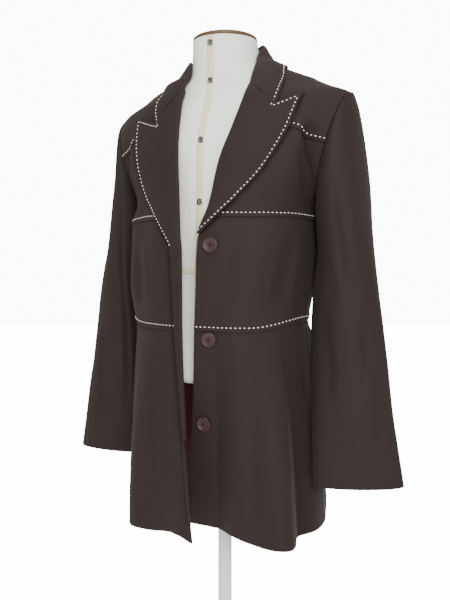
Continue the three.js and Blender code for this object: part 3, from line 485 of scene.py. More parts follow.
def surface(side, angle, z, creased=True):
    """Points of the worn outside, for arrays of angles and heights."""
    angle, z = np.broadcast_arrays(np.asarray(angle, float), np.asarray(z, float))
    middle = BODY.at("middle", z)
    is_front = np.abs(angle) <= SIDE_SEAM
    depth = np.where(is_front, middle - BODY.at("front", z), BODY.at("back", z) - middle)
    square = np.where(is_front, BODY.at("square", z), 2)
    width = half_width(side, z, depth, square)
    sine, cosine = np.sin(np.radians(angle)), np.cos(np.radians(angle))
    reach = ((np.abs(sine) / width) ** square + (np.abs(cosine) / depth) ** square) ** (-1 / square)
    radius = reach + fold_at(side, angle, z) + tuck_at(side, angle, z)
    if creased:
        radius = radius + crease_at(side, angle, z) + hollow_at(side, angle, z)
    return leaned(np.stack([side * radius * sine, middle - radius * cosine, z], -1))


def fold_shade(side, angle, z):
    """Painted shade for the cloth, from 0 in the open to 1: darker in the chest dent, the creases and the
    large folds, with a painted shadow on the front beside each lapel's outer edge.
    """
    # Painted shade in the chest dent and in the troughs of the creases and folds, growing with their depth
    dent, trough, fold = (
        np.clip(-depths(side, angle, z) / full, 0, 1) * weight
        for depths, full, weight in ((hollow_at, 5, 0.5), (crease_at, 3, 0.35), (fold_at, 16, 0.6))
    )
    name = side_name(side)
    edge = LAPEL_EDGE.line(f"{name}_x", f"{name}_z")
    past_lapel = surface(side, angle, z)[..., 0] * side - np.interp(z, edge[:, 1], edge[:, 0])
    # Painted shadow that the lapel casts on the front beside its outer edge
    beside = LAPEL_SHADE * bell(past_lapel, LAPEL_SHADE_WIDTH[side])
    beside = beside * (z < edge[-1, 1]) * (z > edge[0, 1]) * (angle < SIDE_SEAM)
    return np.clip(dent + trough + fold + beside, 0, 1)


def surface_normal(side, angle, z, creased=True):
    step = 0.4
    across = surface(side, angle + step, z, creased) - surface(side, angle - step, z, creased)
    up = surface(side, angle, z + step, creased) - surface(side, angle, z - step, creased)
    return unit(np.cross(across, up)) * side


def points_at(side, places):
    return surface(side, places[..., 0], places[..., 1])


def lifted(side, places, lift):
    angle, z = places[..., 0], places[..., 1]
    lift = np.broadcast_to(lift, angle.shape)[..., None]
    return surface(side, angle, z) + surface_normal(side, angle, z) * lift


def angle_at(side, x, z):
    """Angle at which the section at height z reaches x."""
    x, z = np.broadcast_arrays(np.asarray(x, float), np.asarray(z, float))
    low, high = np.full(x.shape, -25.0), np.full(x.shape, float(SIDE_SEAM))
    for _ in range(34):
        middle = (low + high) / 2
        short = surface(side, middle, z, False)[..., 0] * side < x
        low, high = np.where(short, middle, low), np.where(short, high, middle)
    return (low + high) / 2


def on_surface(side, x, z):
    x, z = np.broadcast_arrays(np.asarray(x, float), np.asarray(z, float))
    return np.stack([angle_at(side, x, z), z], -1)


def armhole_angle(z, is_front):
    hole_x, reach = armhole_at(z)
    angle = np.degrees(np.arctan2(hole_x, reach))
    return angle if is_front else 180 - angle


# Heights of the seams by angle
def hem_z(side, angle):
    left_front = 662.5 - 9.5 * smoothstep(30, 50, angle)
    right_front = 650.5 + 8 * smoothstep(-6, 4, angle) - 8 * smoothstep(9, 33, angle)
    front = left_front if side == LEFT else right_front
    return front + 6 * smoothstep(60, 90, angle) + 38 * smoothstep(95, 135, angle)


def waist_z(side, angle):
    return 969 + 12 * smoothstep(45, 85, angle)


def chest_z(side, angle):
    if side == RIGHT:
        return 1140 - 8 * smoothstep(40, 75, angle)
    return 1143 - 4 * smoothstep(60, 90, angle)


def yoke_z(side, angle):
    return YOKE_SEAM.at("z", angle)


def neck_seam_z(side, angle):
    return COLLAR.at(f"{side_name(side)}_seam", angle)


# Edges of the cut pieces: each takes an array of shares and gives angles and heights
def pair(angle, z):
    angle, z = np.broadcast_arrays(np.asarray(angle, float), np.asarray(z, float))
    return np.stack([angle, z], -1)


def mix(a, b, t):
    return a + (b - a) * t


def side_line(low, high, angle=SIDE_SEAM):
    return lambda t: pair(angle, mix(low, high, t))


def seam_edge(side, height, start, end):
    def edge(t):
        angle = mix(start, end, t)
        return pair(angle, height(side, angle))
    return edge


def front_edge(side, low, high):
    def edge(t):
        z = mix(low, high, t)
        return on_surface(side, FRONT_EDGE.at(side_name(side), z), z)
    return edge


def armhole_edge(low, high, is_front):
    def turn(z):
        return math.acos(min(max((z - ARMHOLE["z"]) / ARMHOLE["rise"], -1), 1))

    def edge(t):
        z = ARMHOLE["z"] + ARMHOLE["rise"] * np.cos(mix(turn(low), turn(high), t))
        return pair(armhole_angle(z, is_front), z)
    return edge


def neck_edge(side, start, end, ease=0):
    def edge(t):
        angle = mix(start, end, t)
        return pair(angle + ease, neck_seam_z(side, angle))
    return edge


def straight(a, b):
    a, b = np.asarray(a, float), np.asarray(b, float)
    return lambda t: mix(a, b, np.asarray(t)[..., None])


def through(stretches):
    """One edge made of several, each up to its own share of the way."""
    def edge(share):
        share = np.asarray(share, float)
        places = np.empty(share.shape + (2,))
        start = 0
        for end, path in stretches:
            here = (share >= start - 1e-9) & (share <= end + 1e-9)
            places[here] = path(np.clip((share[here] - start) / (end - start), 0, 1))
            start = end
        return places
    return edge


def patch(edges, u, v):
    """Grid of angles and heights between four edges, blended across."""
    bottom, top, near, far = (edges[key] for key in ("bottom", "top", "near", "far"))
    ends = np.array([0.0, 1.0])
    across, up = u[None, :, None], v[:, None, None]
    low_ends, high_ends = bottom(ends), top(ends)
    rising = mix(bottom(u)[None], top(u)[None], up)
    crossing = mix(near(v)[:, None], far(v)[:, None], across)
    corners = mix(mix(low_ends[0], low_ends[1], across), mix(high_ends[0], high_ends[1], across), up)
    return rising + crossing - corners


def outline_curve(points):
    """A smooth curve through points, read by its share of the length."""
    points = np.asarray(points, float)
    run = np.concatenate([[0], np.cumsum(np.linalg.norm(np.diff(points, axis=0), axis=1))])

    def at(t):
        place = np.asarray(t) * run[-1]
        return np.stack([smooth_between(run, points[:, k], place) for k in range(2)], -1)
    return at


def surface_line(side, points):
    curve = outline_curve(points)

    def edge(t):
        places = curve(t)
        return on_surface(side, places[..., 0], places[..., 1])
    return edge


# Stations stand close together beside an edge, to shape its turned cloth and its stitches
EDGE_STEPS = (0, 0.5, 1.2, 2.2, 3.6, 5.4, 7, 8.6, 10.5, 13)


def stations(length, step=4, starts=True, ends=True):
    near = [d / length for d in EDGE_STEPS if d < length * 0.4] if starts else [0]
    far = [d / length for d in EDGE_STEPS if d < length * 0.4] if ends else [0]
    count = max(2, math.ceil(length * (1 - near[-1] - far[-1]) / step) + 1)
    inner = np.linspace(near[-1], 1 - far[-1], count)
    return np.concatenate([near[:-1], inner, 1 - np.array(far[:-1])[::-1]])


def run_along(grid, axis):
    """Length of cloth from the first station, in millimetres."""
    steps = np.linalg.norm(np.diff(grid, axis=axis), axis=-1)
    run = np.cumsum(steps, axis=axis)
    return np.insert(run, 0, 0, axis=axis)


def grid_normals(grid):
    down = np.gradient(grid, axis=0)
    across = np.gradient(grid, axis=1)
    return unit(np.cross(across, down))


def mesh_object(name, verts, faces, uv=None, shade=None):
    mesh = bpy.data.meshes.new(name)
    mesh.from_pydata((verts * MM).tolist(), [], faces)
    if uv is not None:
        corners = np.empty(len(mesh.loops), np.int32)
        mesh.loops.foreach_get("vertex_index", corners)
        layer = mesh.uv_layers.new(name="cloth")
        layer.data.foreach_set("uv", (uv[corners] * MM).ravel())
    # The painted shade of folds, creases and lapel shadows goes on as an attribute that darkens the cloth's
    # colour
    if shade is not None:
        mesh.attributes.new(FOLD_SHADE, "FLOAT", "POINT").data.foreach_set("value", shade)
    mesh.polygons.foreach_set("use_smooth", np.ones(len(mesh.polygons), bool))
    mesh.update()
    piece = bpy.data.objects.new(name, mesh)
    bpy.context.scene.collection.objects.link(piece)
    return piece


def facing_out(verts, faces):
    """The faces, turned round where the closed shape they make is inside out."""
    a, b, c, d = (verts[faces[:, k]] for k in range(4))
    volume = np.einsum("ij,ij->i", a, np.cross(b, c)) + np.einsum("ij,ij->i", a, np.cross(c, d))
    return faces if volume.sum() > 0 else faces[:, ::-1]


def wall(name, outer, inner, uv=None, shade=None):
    """One closed wall of cloth from its outer and inner points, rows by columns."""
    rows, columns = outer.shape[:2]
    verts = np.concatenate([outer.reshape(-1, 3), inner.reshape(-1, 3)])
    spot = np.arange(rows * columns).reshape(rows, columns)
    far = spot + rows * columns

    def quads(a, b, c, d):
        return np.stack([a.ravel(), b.ravel(), c.ravel(), d.ravel()], -1)

    faces = [
        quads(spot[:-1, :-1], spot[:-1, 1:], spot[1:, 1:], spot[1:, :-1]),
        quads(far[:-1, :-1], far[1:, :-1], far[1:, 1:], far[:-1, 1:]),
        quads(spot[0, :-1], far[0, :-1], far[0, 1:], spot[0, 1:]),
        quads(spot[-1, :-1], spot[-1, 1:], far[-1, 1:], far[-1, :-1]),
        quads(spot[:-1, 0], spot[1:, 0], far[1:, 0], far[:-1, 0]),
        quads(spot[:-1, -1], far[:-1, -1], far[1:, -1], spot[1:, -1]),
    ]
    if uv is None:
        uv = np.stack([run_along(outer, 1), run_along(outer, 0)], -1)
    flat = uv.reshape(-1, 2)
    if shade is not None:
        shade = np.concatenate([shade.ravel(), shade.ravel()])
    faces = facing_out(verts, np.concatenate(faces))
    return mesh_object(name, verts, faces.tolist(), np.concatenate([flat, flat]), shade)


GRIDS = {}


def groove(distance, inset, depth=GROOVE_DEPTH):
    """The stitches draw the cloth down along their line."""
    return depth * bell(distance - inset, GROOVE_WIDTH)


# How an edge is sewn: the height of the cloth beside it, by the distance from it
SEWN = {
    "none": lambda d: 0 * d,
    "seam": lambda d: -0.55 * bell(d, 1.2),
    "free": lambda d: -0.7 * (1 - smoothstep(0, 1.3, d)),
    "over": lambda d: (1.1 * (1 - smoothstep(8, 11.5, d)) - 0.8 * (1 - smoothstep(0, 1.3, d))
                       - groove(d, SEAM_INSET)),
    "under": lambda d: -1.0 * (1 - smoothstep(1, 6, d)),
}


def panel(name, side, edges, sewn, lift=0, thickness=2, step=4):
    """A cut piece on the worn surface, kept half a seam from each edge."""
    ninths = np.linspace(0, 1, 9)
    rough = points_at(side, patch(edges, ninths, ninths))
    width = run_along(rough, 1)[:, -1].mean()
    height = run_along(rough, 0)[-1].mean()
    u, v = stations(width, step), stations(height, step)
    places = patch(edges, u, v)
    base = points_at(side, places)
    per_degree = np.linalg.norm(base - surface(side, places[..., 0] + 1, places[..., 1]), axis=-1)
    places[:, 0, 0] += SEAM / 2 / per_degree[:, 0]
    places[:, -1, 0] -= SEAM / 2 / per_degree[:, -1]
    places[0, :, 1] += SEAM / 2
    places[-1, :, 1] -= SEAM / 2
    base = points_at(side, places)
    near, low = run_along(base, 1), run_along(base, 0)
    far, high = near[:, -1:] - near, low[-1:] - low
    height_field = sum(SEWN[sewn[key]](run) for key, run in
                       (("near", near), ("far", far), ("bottom", low), ("top", high)))
    if callable(lift):
        lift = lift(places, v)
    outer = lifted(side, places, height_field + lift)
    inner = lifted(side, places, lift - thickness)
    GRIDS[name] = outer
    # Painted shade of the folds, creases and the lapel's shadow, for the cloth's colour
    shade = fold_shade(side, places[..., 0], places[..., 1])
    return wall(name, outer, inner, np.stack([near, low], -1), shade)


FRONT_COLUMNS, FOLD_COLUMN = 11, 7
FOLD_SHARE = FOLD_COLUMN / FRONT_COLUMNS


def folded_edge(side, height, start):
    return through([
        (FOLD_SHARE, seam_edge(side, height, start, SIDE_FOLD)),
        (1, seam_edge(side, height, SIDE_FOLD, SIDE_SEAM)),
    ])


def edge_angle(side, z):
    return float(angle_at(side, FRONT_EDGE.at(side_name(side), z), z))


def front_pieces(side):
    """Edges of the pieces of one front, and how each edge is sewn."""
    hem_start = edge_angle(side, hem_z(side, 0))
    waist_start = edge_angle(side, waist_z(side, 0))
    chest_start = edge_angle(side, chest_z(side, 0))
    yoke_start = edge_angle(side, yoke_z(side, 0))
    yoke_low = yoke_z(side, SIDE_SEAM)
    yoke_end = float(armhole_angle(yoke_low, True))
    gorge_x, gorge_z = GORGE[side]
    gorge_angle = float(angle_at(side, gorge_x, gorge_z))
    neck_start = float(neck_seam_z(side, gorge_angle)) - 6
    hem_at, waist_at, chest_at = (
        lambda angle, height=height: float(height(side, angle)) for height in (hem_z, waist_z, chest_z)
    )
    fold_line = side_line(hem_at(SIDE_FOLD), waist_at(SIDE_FOLD), SIDE_FOLD)
    neck_middle, neck_end = 52, (76, 1397)
    return {
        "front_skirt": ({
            "bottom": seam_edge(side, hem_z, hem_start, SIDE_FOLD),
            "top": seam_edge(side, waist_z, waist_start, SIDE_FOLD),
            "near": front_edge(side, hem_at(hem_start), waist_at(waist_start)),
            "far": fold_line,
        }, {"near": "free", "far": "seam", "bottom": "free", "top": "under"}),
        "side_skirt": ({
            "bottom": seam_edge(side, hem_z, SIDE_FOLD, SIDE_SEAM),
            "top": seam_edge(side, waist_z, SIDE_FOLD, SIDE_SEAM),
            "near": fold_line,
            "far": side_line(hem_at(SIDE_SEAM), waist_at(SIDE_SEAM)),
        }, {"near": "seam", "far": "seam", "bottom": "free", "top": "under"}),
        "front_midriff": ({
            "bottom": folded_edge(side, waist_z, waist_start),
            "top": folded_edge(side, chest_z, chest_start),
            "near": front_edge(side, waist_at(waist_start), chest_at(chest_start)),
            "far": side_line(waist_at(SIDE_SEAM), chest_at(SIDE_SEAM)),
        }, {"near": "free", "far": "seam", "bottom": "over", "top": "under"}),
        "front_chest": ({
            "bottom": folded_edge(side, chest_z, chest_start),
            "top": seam_edge(side, yoke_z, yoke_start, yoke_end),
            "near": front_edge(side, chest_at(chest_start), float(yoke_z(side, yoke_start))),
            "far": through([
                (2 / 9, side_line(chest_at(SIDE_SEAM), UNDERARM_Z)),
                (1, armhole_edge(UNDERARM_Z, yoke_low, True)),
            ]),
        }, {"near": "free", "far": "seam", "bottom": "over", "top": "under"}),
        "front_yoke": ({
            "bottom": seam_edge(side, yoke_z, yoke_start, yoke_end),
            "top": straight(neck_end, (SIDE_SEAM, NECK_POINT_Z)),
            "near": through([
                (5 / 11, front_edge(side, float(yoke_z(side, yoke_start)), neck_start)),
                (8 / 11, neck_edge(side, gorge_angle, neck_middle, NECK_EASE)),
                (1, neck_edge(side, neck_middle, neck_end[0], NECK_EASE)),
            ]),
            "far": through([
                (5 / 11, armhole_edge(yoke_low, SHOULDER_TIP_Z, True)),
                (1, side_line(SHOULDER_TIP_Z, NECK_POINT_Z)),
            ]),
        }, {"near": "none", "far": "seam", "bottom": "over", "top": "none"}),
    }


def back_pieces(side):
    body_rows, chest_rows, hole_rows, shoulder_rows = 6, 2, 6, 6
    rows = body_rows + chest_rows + hole_rows + shoulder_rows
    waist_side, chest_side = float(waist_z(side, SIDE_SEAM)), float(chest_z(side, SIDE_SEAM))
    hem_side, hem_back = float(hem_z(side, SIDE_SEAM)), float(hem_z(side, CENTRE_BACK))
    waist_back, neck_back = float(waist_z(side, CENTRE_BACK)), float(neck_seam_z(side, CENTRE_BACK))
    return {
        "back": ({
            "bottom": seam_edge(side, waist_z, SIDE_SEAM, CENTRE_BACK),
            "top": neck_edge(side, SIDE_SEAM, CENTRE_BACK),
            "near": through([
                (body_rows / rows, side_line(waist_side, chest_side)),
                ((body_rows + chest_rows) / rows, side_line(chest_side, UNDERARM_Z)),
                (1 - shoulder_rows / rows, armhole_edge(UNDERARM_Z, SHOULDER_TIP_Z, False)),
                (1, side_line(SHOULDER_TIP_Z, NECK_POINT_Z)),
            ]),
            "far": side_line(waist_back, neck_back, CENTRE_BACK),
        }, {"near": "seam", "far": "seam", "bottom": "over", "top": "none"}),
        "back_skirt": ({
            "bottom": seam_edge(side, hem_z, SIDE_SEAM, CENTRE_BACK),
            "top": seam_edge(side, waist_z, SIDE_SEAM, CENTRE_BACK),
            "near": side_line(hem_side, waist_side),
            "far": side_line(hem_back, waist_back, CENTRE_BACK),
        }, {"near": "seam", "far": "seam", "bottom": "free", "top": "under"}),
    }


def lining_edges(side):
    start = 100

    def low(_, angle):
        return hem_z(side, angle) + 12

    return {
        "bottom": seam_edge(side, low, start, CENTRE_BACK),
        "top": side_line_flat(start, CENTRE_BACK, LINING_TOP_Z),
        "near": side_line(float(low(side, start)), LINING_TOP_Z, start),
        "far": side_line(float(low(side, CENTRE_BACK)), LINING_TOP_Z, CENTRE_BACK),
    }


def lining_hang(places, share):
    """How far inside the worn surface the lining hangs: sewn close at its top, rippled below."""
    cloth, ripple_depth, ripples, top_fold = 2, 0.8, 22, 0.9
    up = share[:, None]
    ripple = ripple_depth * np.sin(np.radians(places[..., 0]) * ripples) * (1 - up) ** 0.5
    hanging = LINING_GAP * smoothstep(1, 0.93, up) + top_fold * smoothstep(0.9, 1, up)
    return ripple - cloth - hanging


def side_line_flat(start, end, z):
    return lambda t: pair(mix(start, end, t), z)


def refined(profile, parts):
    """Finer stations on a smooth curve through each row's points."""
    count = profile.shape[1]
    mean = np.linalg.norm(np.diff(profile, axis=1), axis=-1).mean(axis=0)
    run = np.concatenate([[0], np.cumsum(np.maximum(mean, 0.05))])
    places = [run[0]]
    for k in range(count - 1):
        places.extend(np.linspace(run[k], run[k + 1], parts[k] + 1)[1:])
    places = np.array(places)
    low = np.clip(np.searchsorted(run, places) - 1, 0, count - 2)
    before, after = np.maximum(np.arange(count) - 1, 0), np.minimum(np.arange(count) + 1, count - 1)
    slope = (profile[:, after] - profile[:, before]) / (run[after] - run[before])[None, :, None]
    step = (run[low + 1] - run[low])[None, :, None]
    t = ((places - run[low])[None, :, None]) / step
    rest = 1 - t
    return (profile[:, low] * (1 + 2 * t) * rest ** 2 + profile[:, low + 1] * (3 - 2 * t) * t ** 2
            + step * t * rest * (slope[:, low] * rest - slope[:, low + 1] * t))


def edge_distances(length, step=5):
    """Shares across a turned piece, close together towards its free edge."""
    near_edge = [1 - d / length for d in EDGE_STEPS if d < length * 0.5][::-1]
    inner = np.linspace(0, near_edge[0], max(2, math.ceil(length * near_edge[0] / step) + 1))
    return np.concatenate([inner[1:], near_edge[1:]])


GORGE_SHARE = 6 / 9


def gorge_line(side):
    path = straight(GORGE[side], NOTCH[side])

    def edge(t):
        places = path(t)
        return on_surface(side, places[..., 0], places[..., 1])
    return edge


def lapel_shape(side):
    name = side_name(side)
    points = LAPEL_EDGE.line(f"{name}_x", f"{name}_z")
    foot, peak = points[0], points[-1]
    gorge, notch = GORGE[side], NOTCH[side]

    def foot_edge(t):
        return on_surface(side, mix(FRONT_EDGE.at(name, foot[1]), foot[0], np.asarray(t)), foot[1])

    def notch_edge(t):
        places = straight(notch, peak)(t)
        return on_surface(side, places[..., 0], places[..., 1])

    return {
        "bottom": foot_edge,
        "top": through([(GORGE_SHARE, gorge_line(side)), (1, notch_edge)]),
        "near": front_edge(side, foot[1], gorge[1]),
        "far": surface_line(side, points),
    }


def lapel_wall(side):
    """A lapel lies over its front from the roll line outwards."""
    edges = lapel_shape(side)
    name = f"lapel_{side_name(side)}"
    is_long = side == RIGHT
    spacing, flat_share = (0.75, 0.55) if is_long else (1, 0)
    far = points_at(side, edges["far"](np.linspace(0, 1, 60)))
    length = np.linalg.norm(np.diff(far, axis=0), axis=1).sum()
    v = stations(length, 4.5, starts=False) ** spacing
    roll_places = edges["near"](v)
    roll = points_at(side, roll_places)
    normal = surface_normal(side, roll_places[:, 0], roll_places[:, 1])
    later = points_at(side, edges["near"](np.minimum(v + 0.02, 1)))
    sooner = points_at(side, edges["near"](np.maximum(v - 0.02, 0)))
    past = unit(np.cross(unit(later - sooner), normal))
    outwards = points_at(side, edges["far"](v)) - roll
    past = np.where(np.sum(past * outwards, -1, keepdims=True) > 0, -past, past)

    def bent(beyond, lift):
        return roll + past * beyond + normal * lift

    u = edge_distances(LAPEL_WIDTH)
    places = patch(edges, u, v)
    bulge = LAPEL_BULGE * smoothstep(0, 0.2, v - flat_share)[:, None]
    at_top = smoothstep(0.86, 1, v)[:, None]
    base = lifted(side, places, 0)
    to_edge = np.linalg.norm(base - base[:, -1:], axis=-1)
    inland = np.minimum(to_edge, np.linalg.norm(base - base[-1:], axis=-1))
    lift = LAPEL_CLEAR + bulge * np.sin(np.pi * u)[None] + (COLLAR_CLEAR - LAPEL_CLEAR) * at_top * (
        1 - smoothstep(0.5, 1, u)[None]) + 1.6 * (bulge > 0) * smoothstep(30, 0, to_edge)
    peak_side = smoothstep(GORGE_SHARE, GORGE_SHARE + 0.03, u)[None]
    from_top = np.linalg.norm(base - base[-1:], axis=-1)
    edge_form = SEWN["free"](to_edge) - groove(to_edge, EDGE_INSET)
    top_form = peak_side * (SEWN["free"](from_top) - groove(from_top, EDGE_INSET, 0.4))
    gorge_form = (1 - peak_side) * -0.06 * bell(from_top, 1.2)
    twist = 0
    if is_long:
        # The turned edge twists where the lapel ends and the strip runs on down the front
        pinch_z, ridge_z, slant = 1088, 1101, 14
        height = places[..., 1] + slant * u[None]
        twist = 1.6 * bell(height - ridge_z, 6) - 1.5 * bell(height - pinch_z, 4.5)
    outer_flat = lifted(side, places, lift + TURNED_CLOTH + edge_form + top_form + gorge_form + twist)
    inner_flat = lifted(side, places, lift)
    outer = np.stack([bent(ROLL_GAP + 2, -2), bent(ROLL_GAP + 2, 0.9), bent(0.8, 3.2)], 1)
    inner = np.stack([bent(ROLL_GAP, -2), bent(ROLL_GAP, 0.5), bent(-0.3, 1.2)], 1)
    join = 2
    start_outer = refined(np.concatenate([outer, outer_flat[:, :join]], 1), [3, 4, 3] + [1] * (join - 1))
    start_inner = refined(np.concatenate([inner, inner_flat[:, :join]], 1), [3, 4, 3] + [1] * (join - 1))
    outer = np.concatenate([start_outer, outer_flat[:, join:]], 1)
    inner = np.concatenate([start_inner, inner_flat[:, join:]], 1)
    GRIDS[name] = outer
    return wall(name, outer, inner)


def collar_wall():
    """The collar goes round the neck in one piece, from one gorge seam to the other."""
    back_share = 5 / 11
    halves = []
    for side in (RIGHT, LEFT):
        name = side_name(side)
        share = np.unique(np.concatenate([np.linspace(0, back_share, 26)[:-1],
                                          np.linspace(back_share, 1, 44)[:-1], [0.985, 0.995, 1]]))
        front = np.clip((share - back_share) / (1 - back_share), 0, 1)
        back_angle = mix(CENTRE_BACK, SIDE_SEAM, np.clip(share / back_share, 0, 1))
        gorge = gorge_line(side)
        gorge_start = gorge(np.array([0.0]))[0]
        roll_line = COLLAR_ROLL.line(f"{name}_angle", f"{name}_z")
        roll_line = np.concatenate([roll_line, [gorge_start]]) * NECK_UNITS
        front_roll = outline_curve(roll_line)(front) / NECK_UNITS
        roll_angle = np.where(front > 0, front_roll[:, 0], back_angle)
        roll_z = np.where(front > 0, front_roll[:, 1], COLLAR.at(f"{name}_roll", back_angle))
        points = COLLAR_FRONT.line(f"{name}_x", f"{name}_z")
        front_line = surface_line(side, points)(front)
        back_line = pair(back_angle, COLLAR.at(f"{name}_edge", back_angle))
        edge = np.where((front > 0)[:, None], front_line, back_line)
        roll = pair(roll_angle, roll_z)
        foot = neck_seam_z(side, roll_angle) + COLLAR_FOOT
        stand_height = np.maximum(roll_z - foot, 1)
        outer, inner = [], []
        for height in (0, 0.5, 0.9):
            place = pair(roll_angle, foot + height * stand_height)
            outer.append(lifted(side, place, -2))
            inner.append(lifted(side, place, 0))
        normal = surface_normal(side, roll[:, 0], roll[:, 1])
        top = points_at(side, roll)
        past = top - points_at(side, edge)
        past = unit(past - normal * np.sum(past * normal, -1, keepdims=True))
        for grid, spots in ((outer, ((2.4, 0.8), (0.8, 3.8))), (inner, ((0.4, 0.6), (0, 1.8)))):
            for beyond, lift in spots:
                grid.append(top + past * beyond + normal * lift)
        u = edge_distances(COLLAR_WIDTH)
        straight_places = mix(roll[:, None], edge[:, None], u[None, :, None])
        on_gorge = gorge(u)[None]
        blend = smoothstep(0.9, 1, front)[:, None, None]
        places = mix(straight_places, np.broadcast_to(on_gorge, straight_places.shape), blend)
        places[-1, :, 1] += 0.1
        base = lifted(side, places, 0)
        to_edge = np.linalg.norm(base - base[:, -1:], axis=-1)
        lift = COLLAR_CLEAR + COLLAR_BULGE * np.sin(np.pi * u)[None]
        form = SEWN["free"](to_edge) - groove(to_edge, EDGE_INSET)
        flat_outer = lifted(side, places, lift + TURNED_CLOTH + form)
        flat_inner = lifted(side, places, lift)
        join = 2
        parts = [3, 3, 3, 4, 3] + [1] * (join - 1)
        start_outer = refined(np.concatenate([np.stack(outer, 1), flat_outer[:, :join]], 1), parts)
        start_inner = refined(np.concatenate([np.stack(inner, 1), flat_inner[:, :join]], 1), parts)
        outer = np.concatenate([start_outer, flat_outer[:, join:]], 1)
        inner = np.concatenate([start_inner, flat_inner[:, join:]], 1)
        halves.append((outer, inner))
    (right_outer, right_inner), (left_outer, left_inner) = halves
    outer = np.concatenate([right_outer[:0:-1], left_outer])
    inner = np.concatenate([right_inner[:0:-1], left_inner])
    GRIDS["collar"] = outer
    return wall("collar", outer, inner)


# SLEEVE_SHADE is the darkness of the painted shade in the troughs of the sleeves' creases
RISE_SHARE, SLEEVE_RADIUS, SLEEVE_SHADE, SLEEVE_SEAM_TURN = 0.35, 62, 0.45, 0.02


def sleeve_wall(side, name, start, end):
    """One half of a sleeve, a stretch of the tube round its rings."""
    table = SLEEVES[side].rows
    steps = np.linalg.norm(np.diff(table[:, :3], axis=0), axis=1)
    # A ring's centre moves little where the sleeve head turns, so its rise counts as well
    steps = steps + RISE_SHARE * np.abs(np.diff(table[:, 4]))
    run = np.concatenate([[0], np.cumsum(steps)])
    rings = stations(run[-1], 4.5) * run[-1]
    x, y, z, across, rise, deep, turn = (smooth_between(run, table[:, k], rings) for k in range(7))
    cosine, sine = np.cos(np.radians(turn)), np.sin(np.radians(turn))
    long = np.stack([across * cosine, across * sine, rise], -1)
    wide = np.stack([deep * sine, -deep * cosine, 0 * deep], -1)
    axis = unit(np.cross(wide, long))
    axis = axis * np.where(axis[:, :1] < 0, -1, 1)
    centre = np.stack([x, y, z], -1)
    centre[0] += axis[0] * SEAM
    round_length = math.radians(end - start) * SLEEVE_RADIUS
    turns = start + stations(round_length, 4) * (end - start)
    turns[0] += SLEEVE_SEAM_TURN
    turns[-1] -= SLEEVE_SEAM_TURN
    cos_t, sin_t = np.cos(np.radians(turns))[None, :, None], np.sin(np.radians(turns))[None, :, None]

    def ring_points(wall_depth):
        depth = np.broadcast_to(wall_depth, (len(rings), len(turns)))[..., None]
        long_size = np.linalg.norm(long, axis=-1)[:, None, None]
        wide_size = np.linalg.norm(wide, axis=-1)[:, None, None]
        point = (centre[:, None] + long[:, None] * cos_t * (1 - depth / long_size)
                 + wide[:, None] * sin_t * (1 - depth / wide_size))
        return leaned(point * np.array([side, 1, 1]))

    plain = ring_points(0)
    down, around = run_along(plain, 0), run_along(plain, 1)
    rows = [row[1:] for row in SLEEVE_CREASES.rows if row[0] == side]
    creases = crease_depths(rows, turns[None], down, 1)
    creases = creases * smoothstep(0, 25, down)
    form = SEWN["seam"](down) + SEWN["free"](down[-1:] - down)
    form = form + SEWN["seam"](around) + SEWN["seam"](around[:, -1:] - around)
    outer = ring_points(-(creases + form))
    inner = ring_points(-creases + 2)
    full_name = f"{name}_{side_name(side)}"
    GRIDS[full_name] = outer
    # Painted shade: the sleeve is darker in the troughs of its creases
    shade = np.clip(-creases / 3, 0, 1) * SLEEVE_SHADE
    return wall(full_name, outer, inner, np.stack([around, down], -1), shade)


def form_surface(angle, z):
    angle, z = np.broadcast_arrays(np.asarray(angle, float), np.asarray(z, float))
    middle = FORM.at("middle", z)
    is_front = np.abs(angle) <= 90
    depth = np.where(is_front, middle - FORM.at("front", z), FORM.at("back", z) - middle)
    sine, cosine = np.sin(np.radians(angle)), np.cos(np.radians(angle))
    square = np.where(is_front, np.minimum(BODY.at("square", z), 2), 2)
    width = FORM.at("half", z)
    radius = (np.abs(sine / width) ** square + np.abs(cosine / depth) ** square) ** (-1 / square)
    return leaned(np.stack([radius * sine, middle - radius * cosine, z], -1), 0)


def form_normal(angle, z):
    across = form_surface(angle + 0.5, z) - form_surface(angle - 0.5, z)
    up = form_surface(angle, z + 1) - form_surface(angle, z - 1)
    return unit(np.cross(across, up))


def form_body():
    """The linen dress form, closed at its neck and at its lower end."""
    around = np.arange(-180, 180, 2.5)
    heights = np.concatenate([np.arange(FORM_BOTTOM_Z, 1320, 9), np.arange(1320, FORM_TOP_Z, 3),
                              [FORM_TOP_Z]])
    grid = form_surface(around[None], heights[:, None])
    rings = [grid]
    # Narrowing rings close both ends
    for row in (0, -1):
        end = grid[row]
        centre = np.array([0, float(FORM.at("middle", heights[row])), end[:, 2].mean()])
        rows = np.stack([centre + (end - centre) * share for share in FORM_END_SHARES])
        rows[..., 2] = end[:, 2]
        rings = [rows[::-1]] + rings if row == 0 else rings + [rows]
    grid = np.concatenate(rings)
    rows, columns = grid.shape[:2]
    spot = np.arange(rows * columns).reshape(rows, columns)
    wrapped = np.roll(spot, -1, axis=1)
    faces = np.stack([spot[:-1], wrapped[:-1], wrapped[1:], spot[1:]], -1).reshape(-1, 4)
    verts = grid.reshape(-1, 3)
    faces = facing_out(verts, faces)
    uv = np.stack([run_along(grid, 1), run_along(grid, 0)], -1).reshape(-1, 2)
    piece = mesh_object("linen_form", verts, faces.tolist(), uv)
    fill_ends(piece)
    return piece


def fill_ends(piece):
    shape = bmesh.new()
    shape.from_mesh(piece.data)
    open_edges = [edge for edge in shape.edges if edge.is_boundary]
    bmesh.ops.holes_fill(shape, edges=open_edges, sides=0)
    bmesh.ops.recalc_face_normals(shape, faces=shape.faces)
    shape.to_mesh(piece.data)
    shape.free()


TAPE_SUNK, TAPE_WAIST_Z = 1.2, 1059


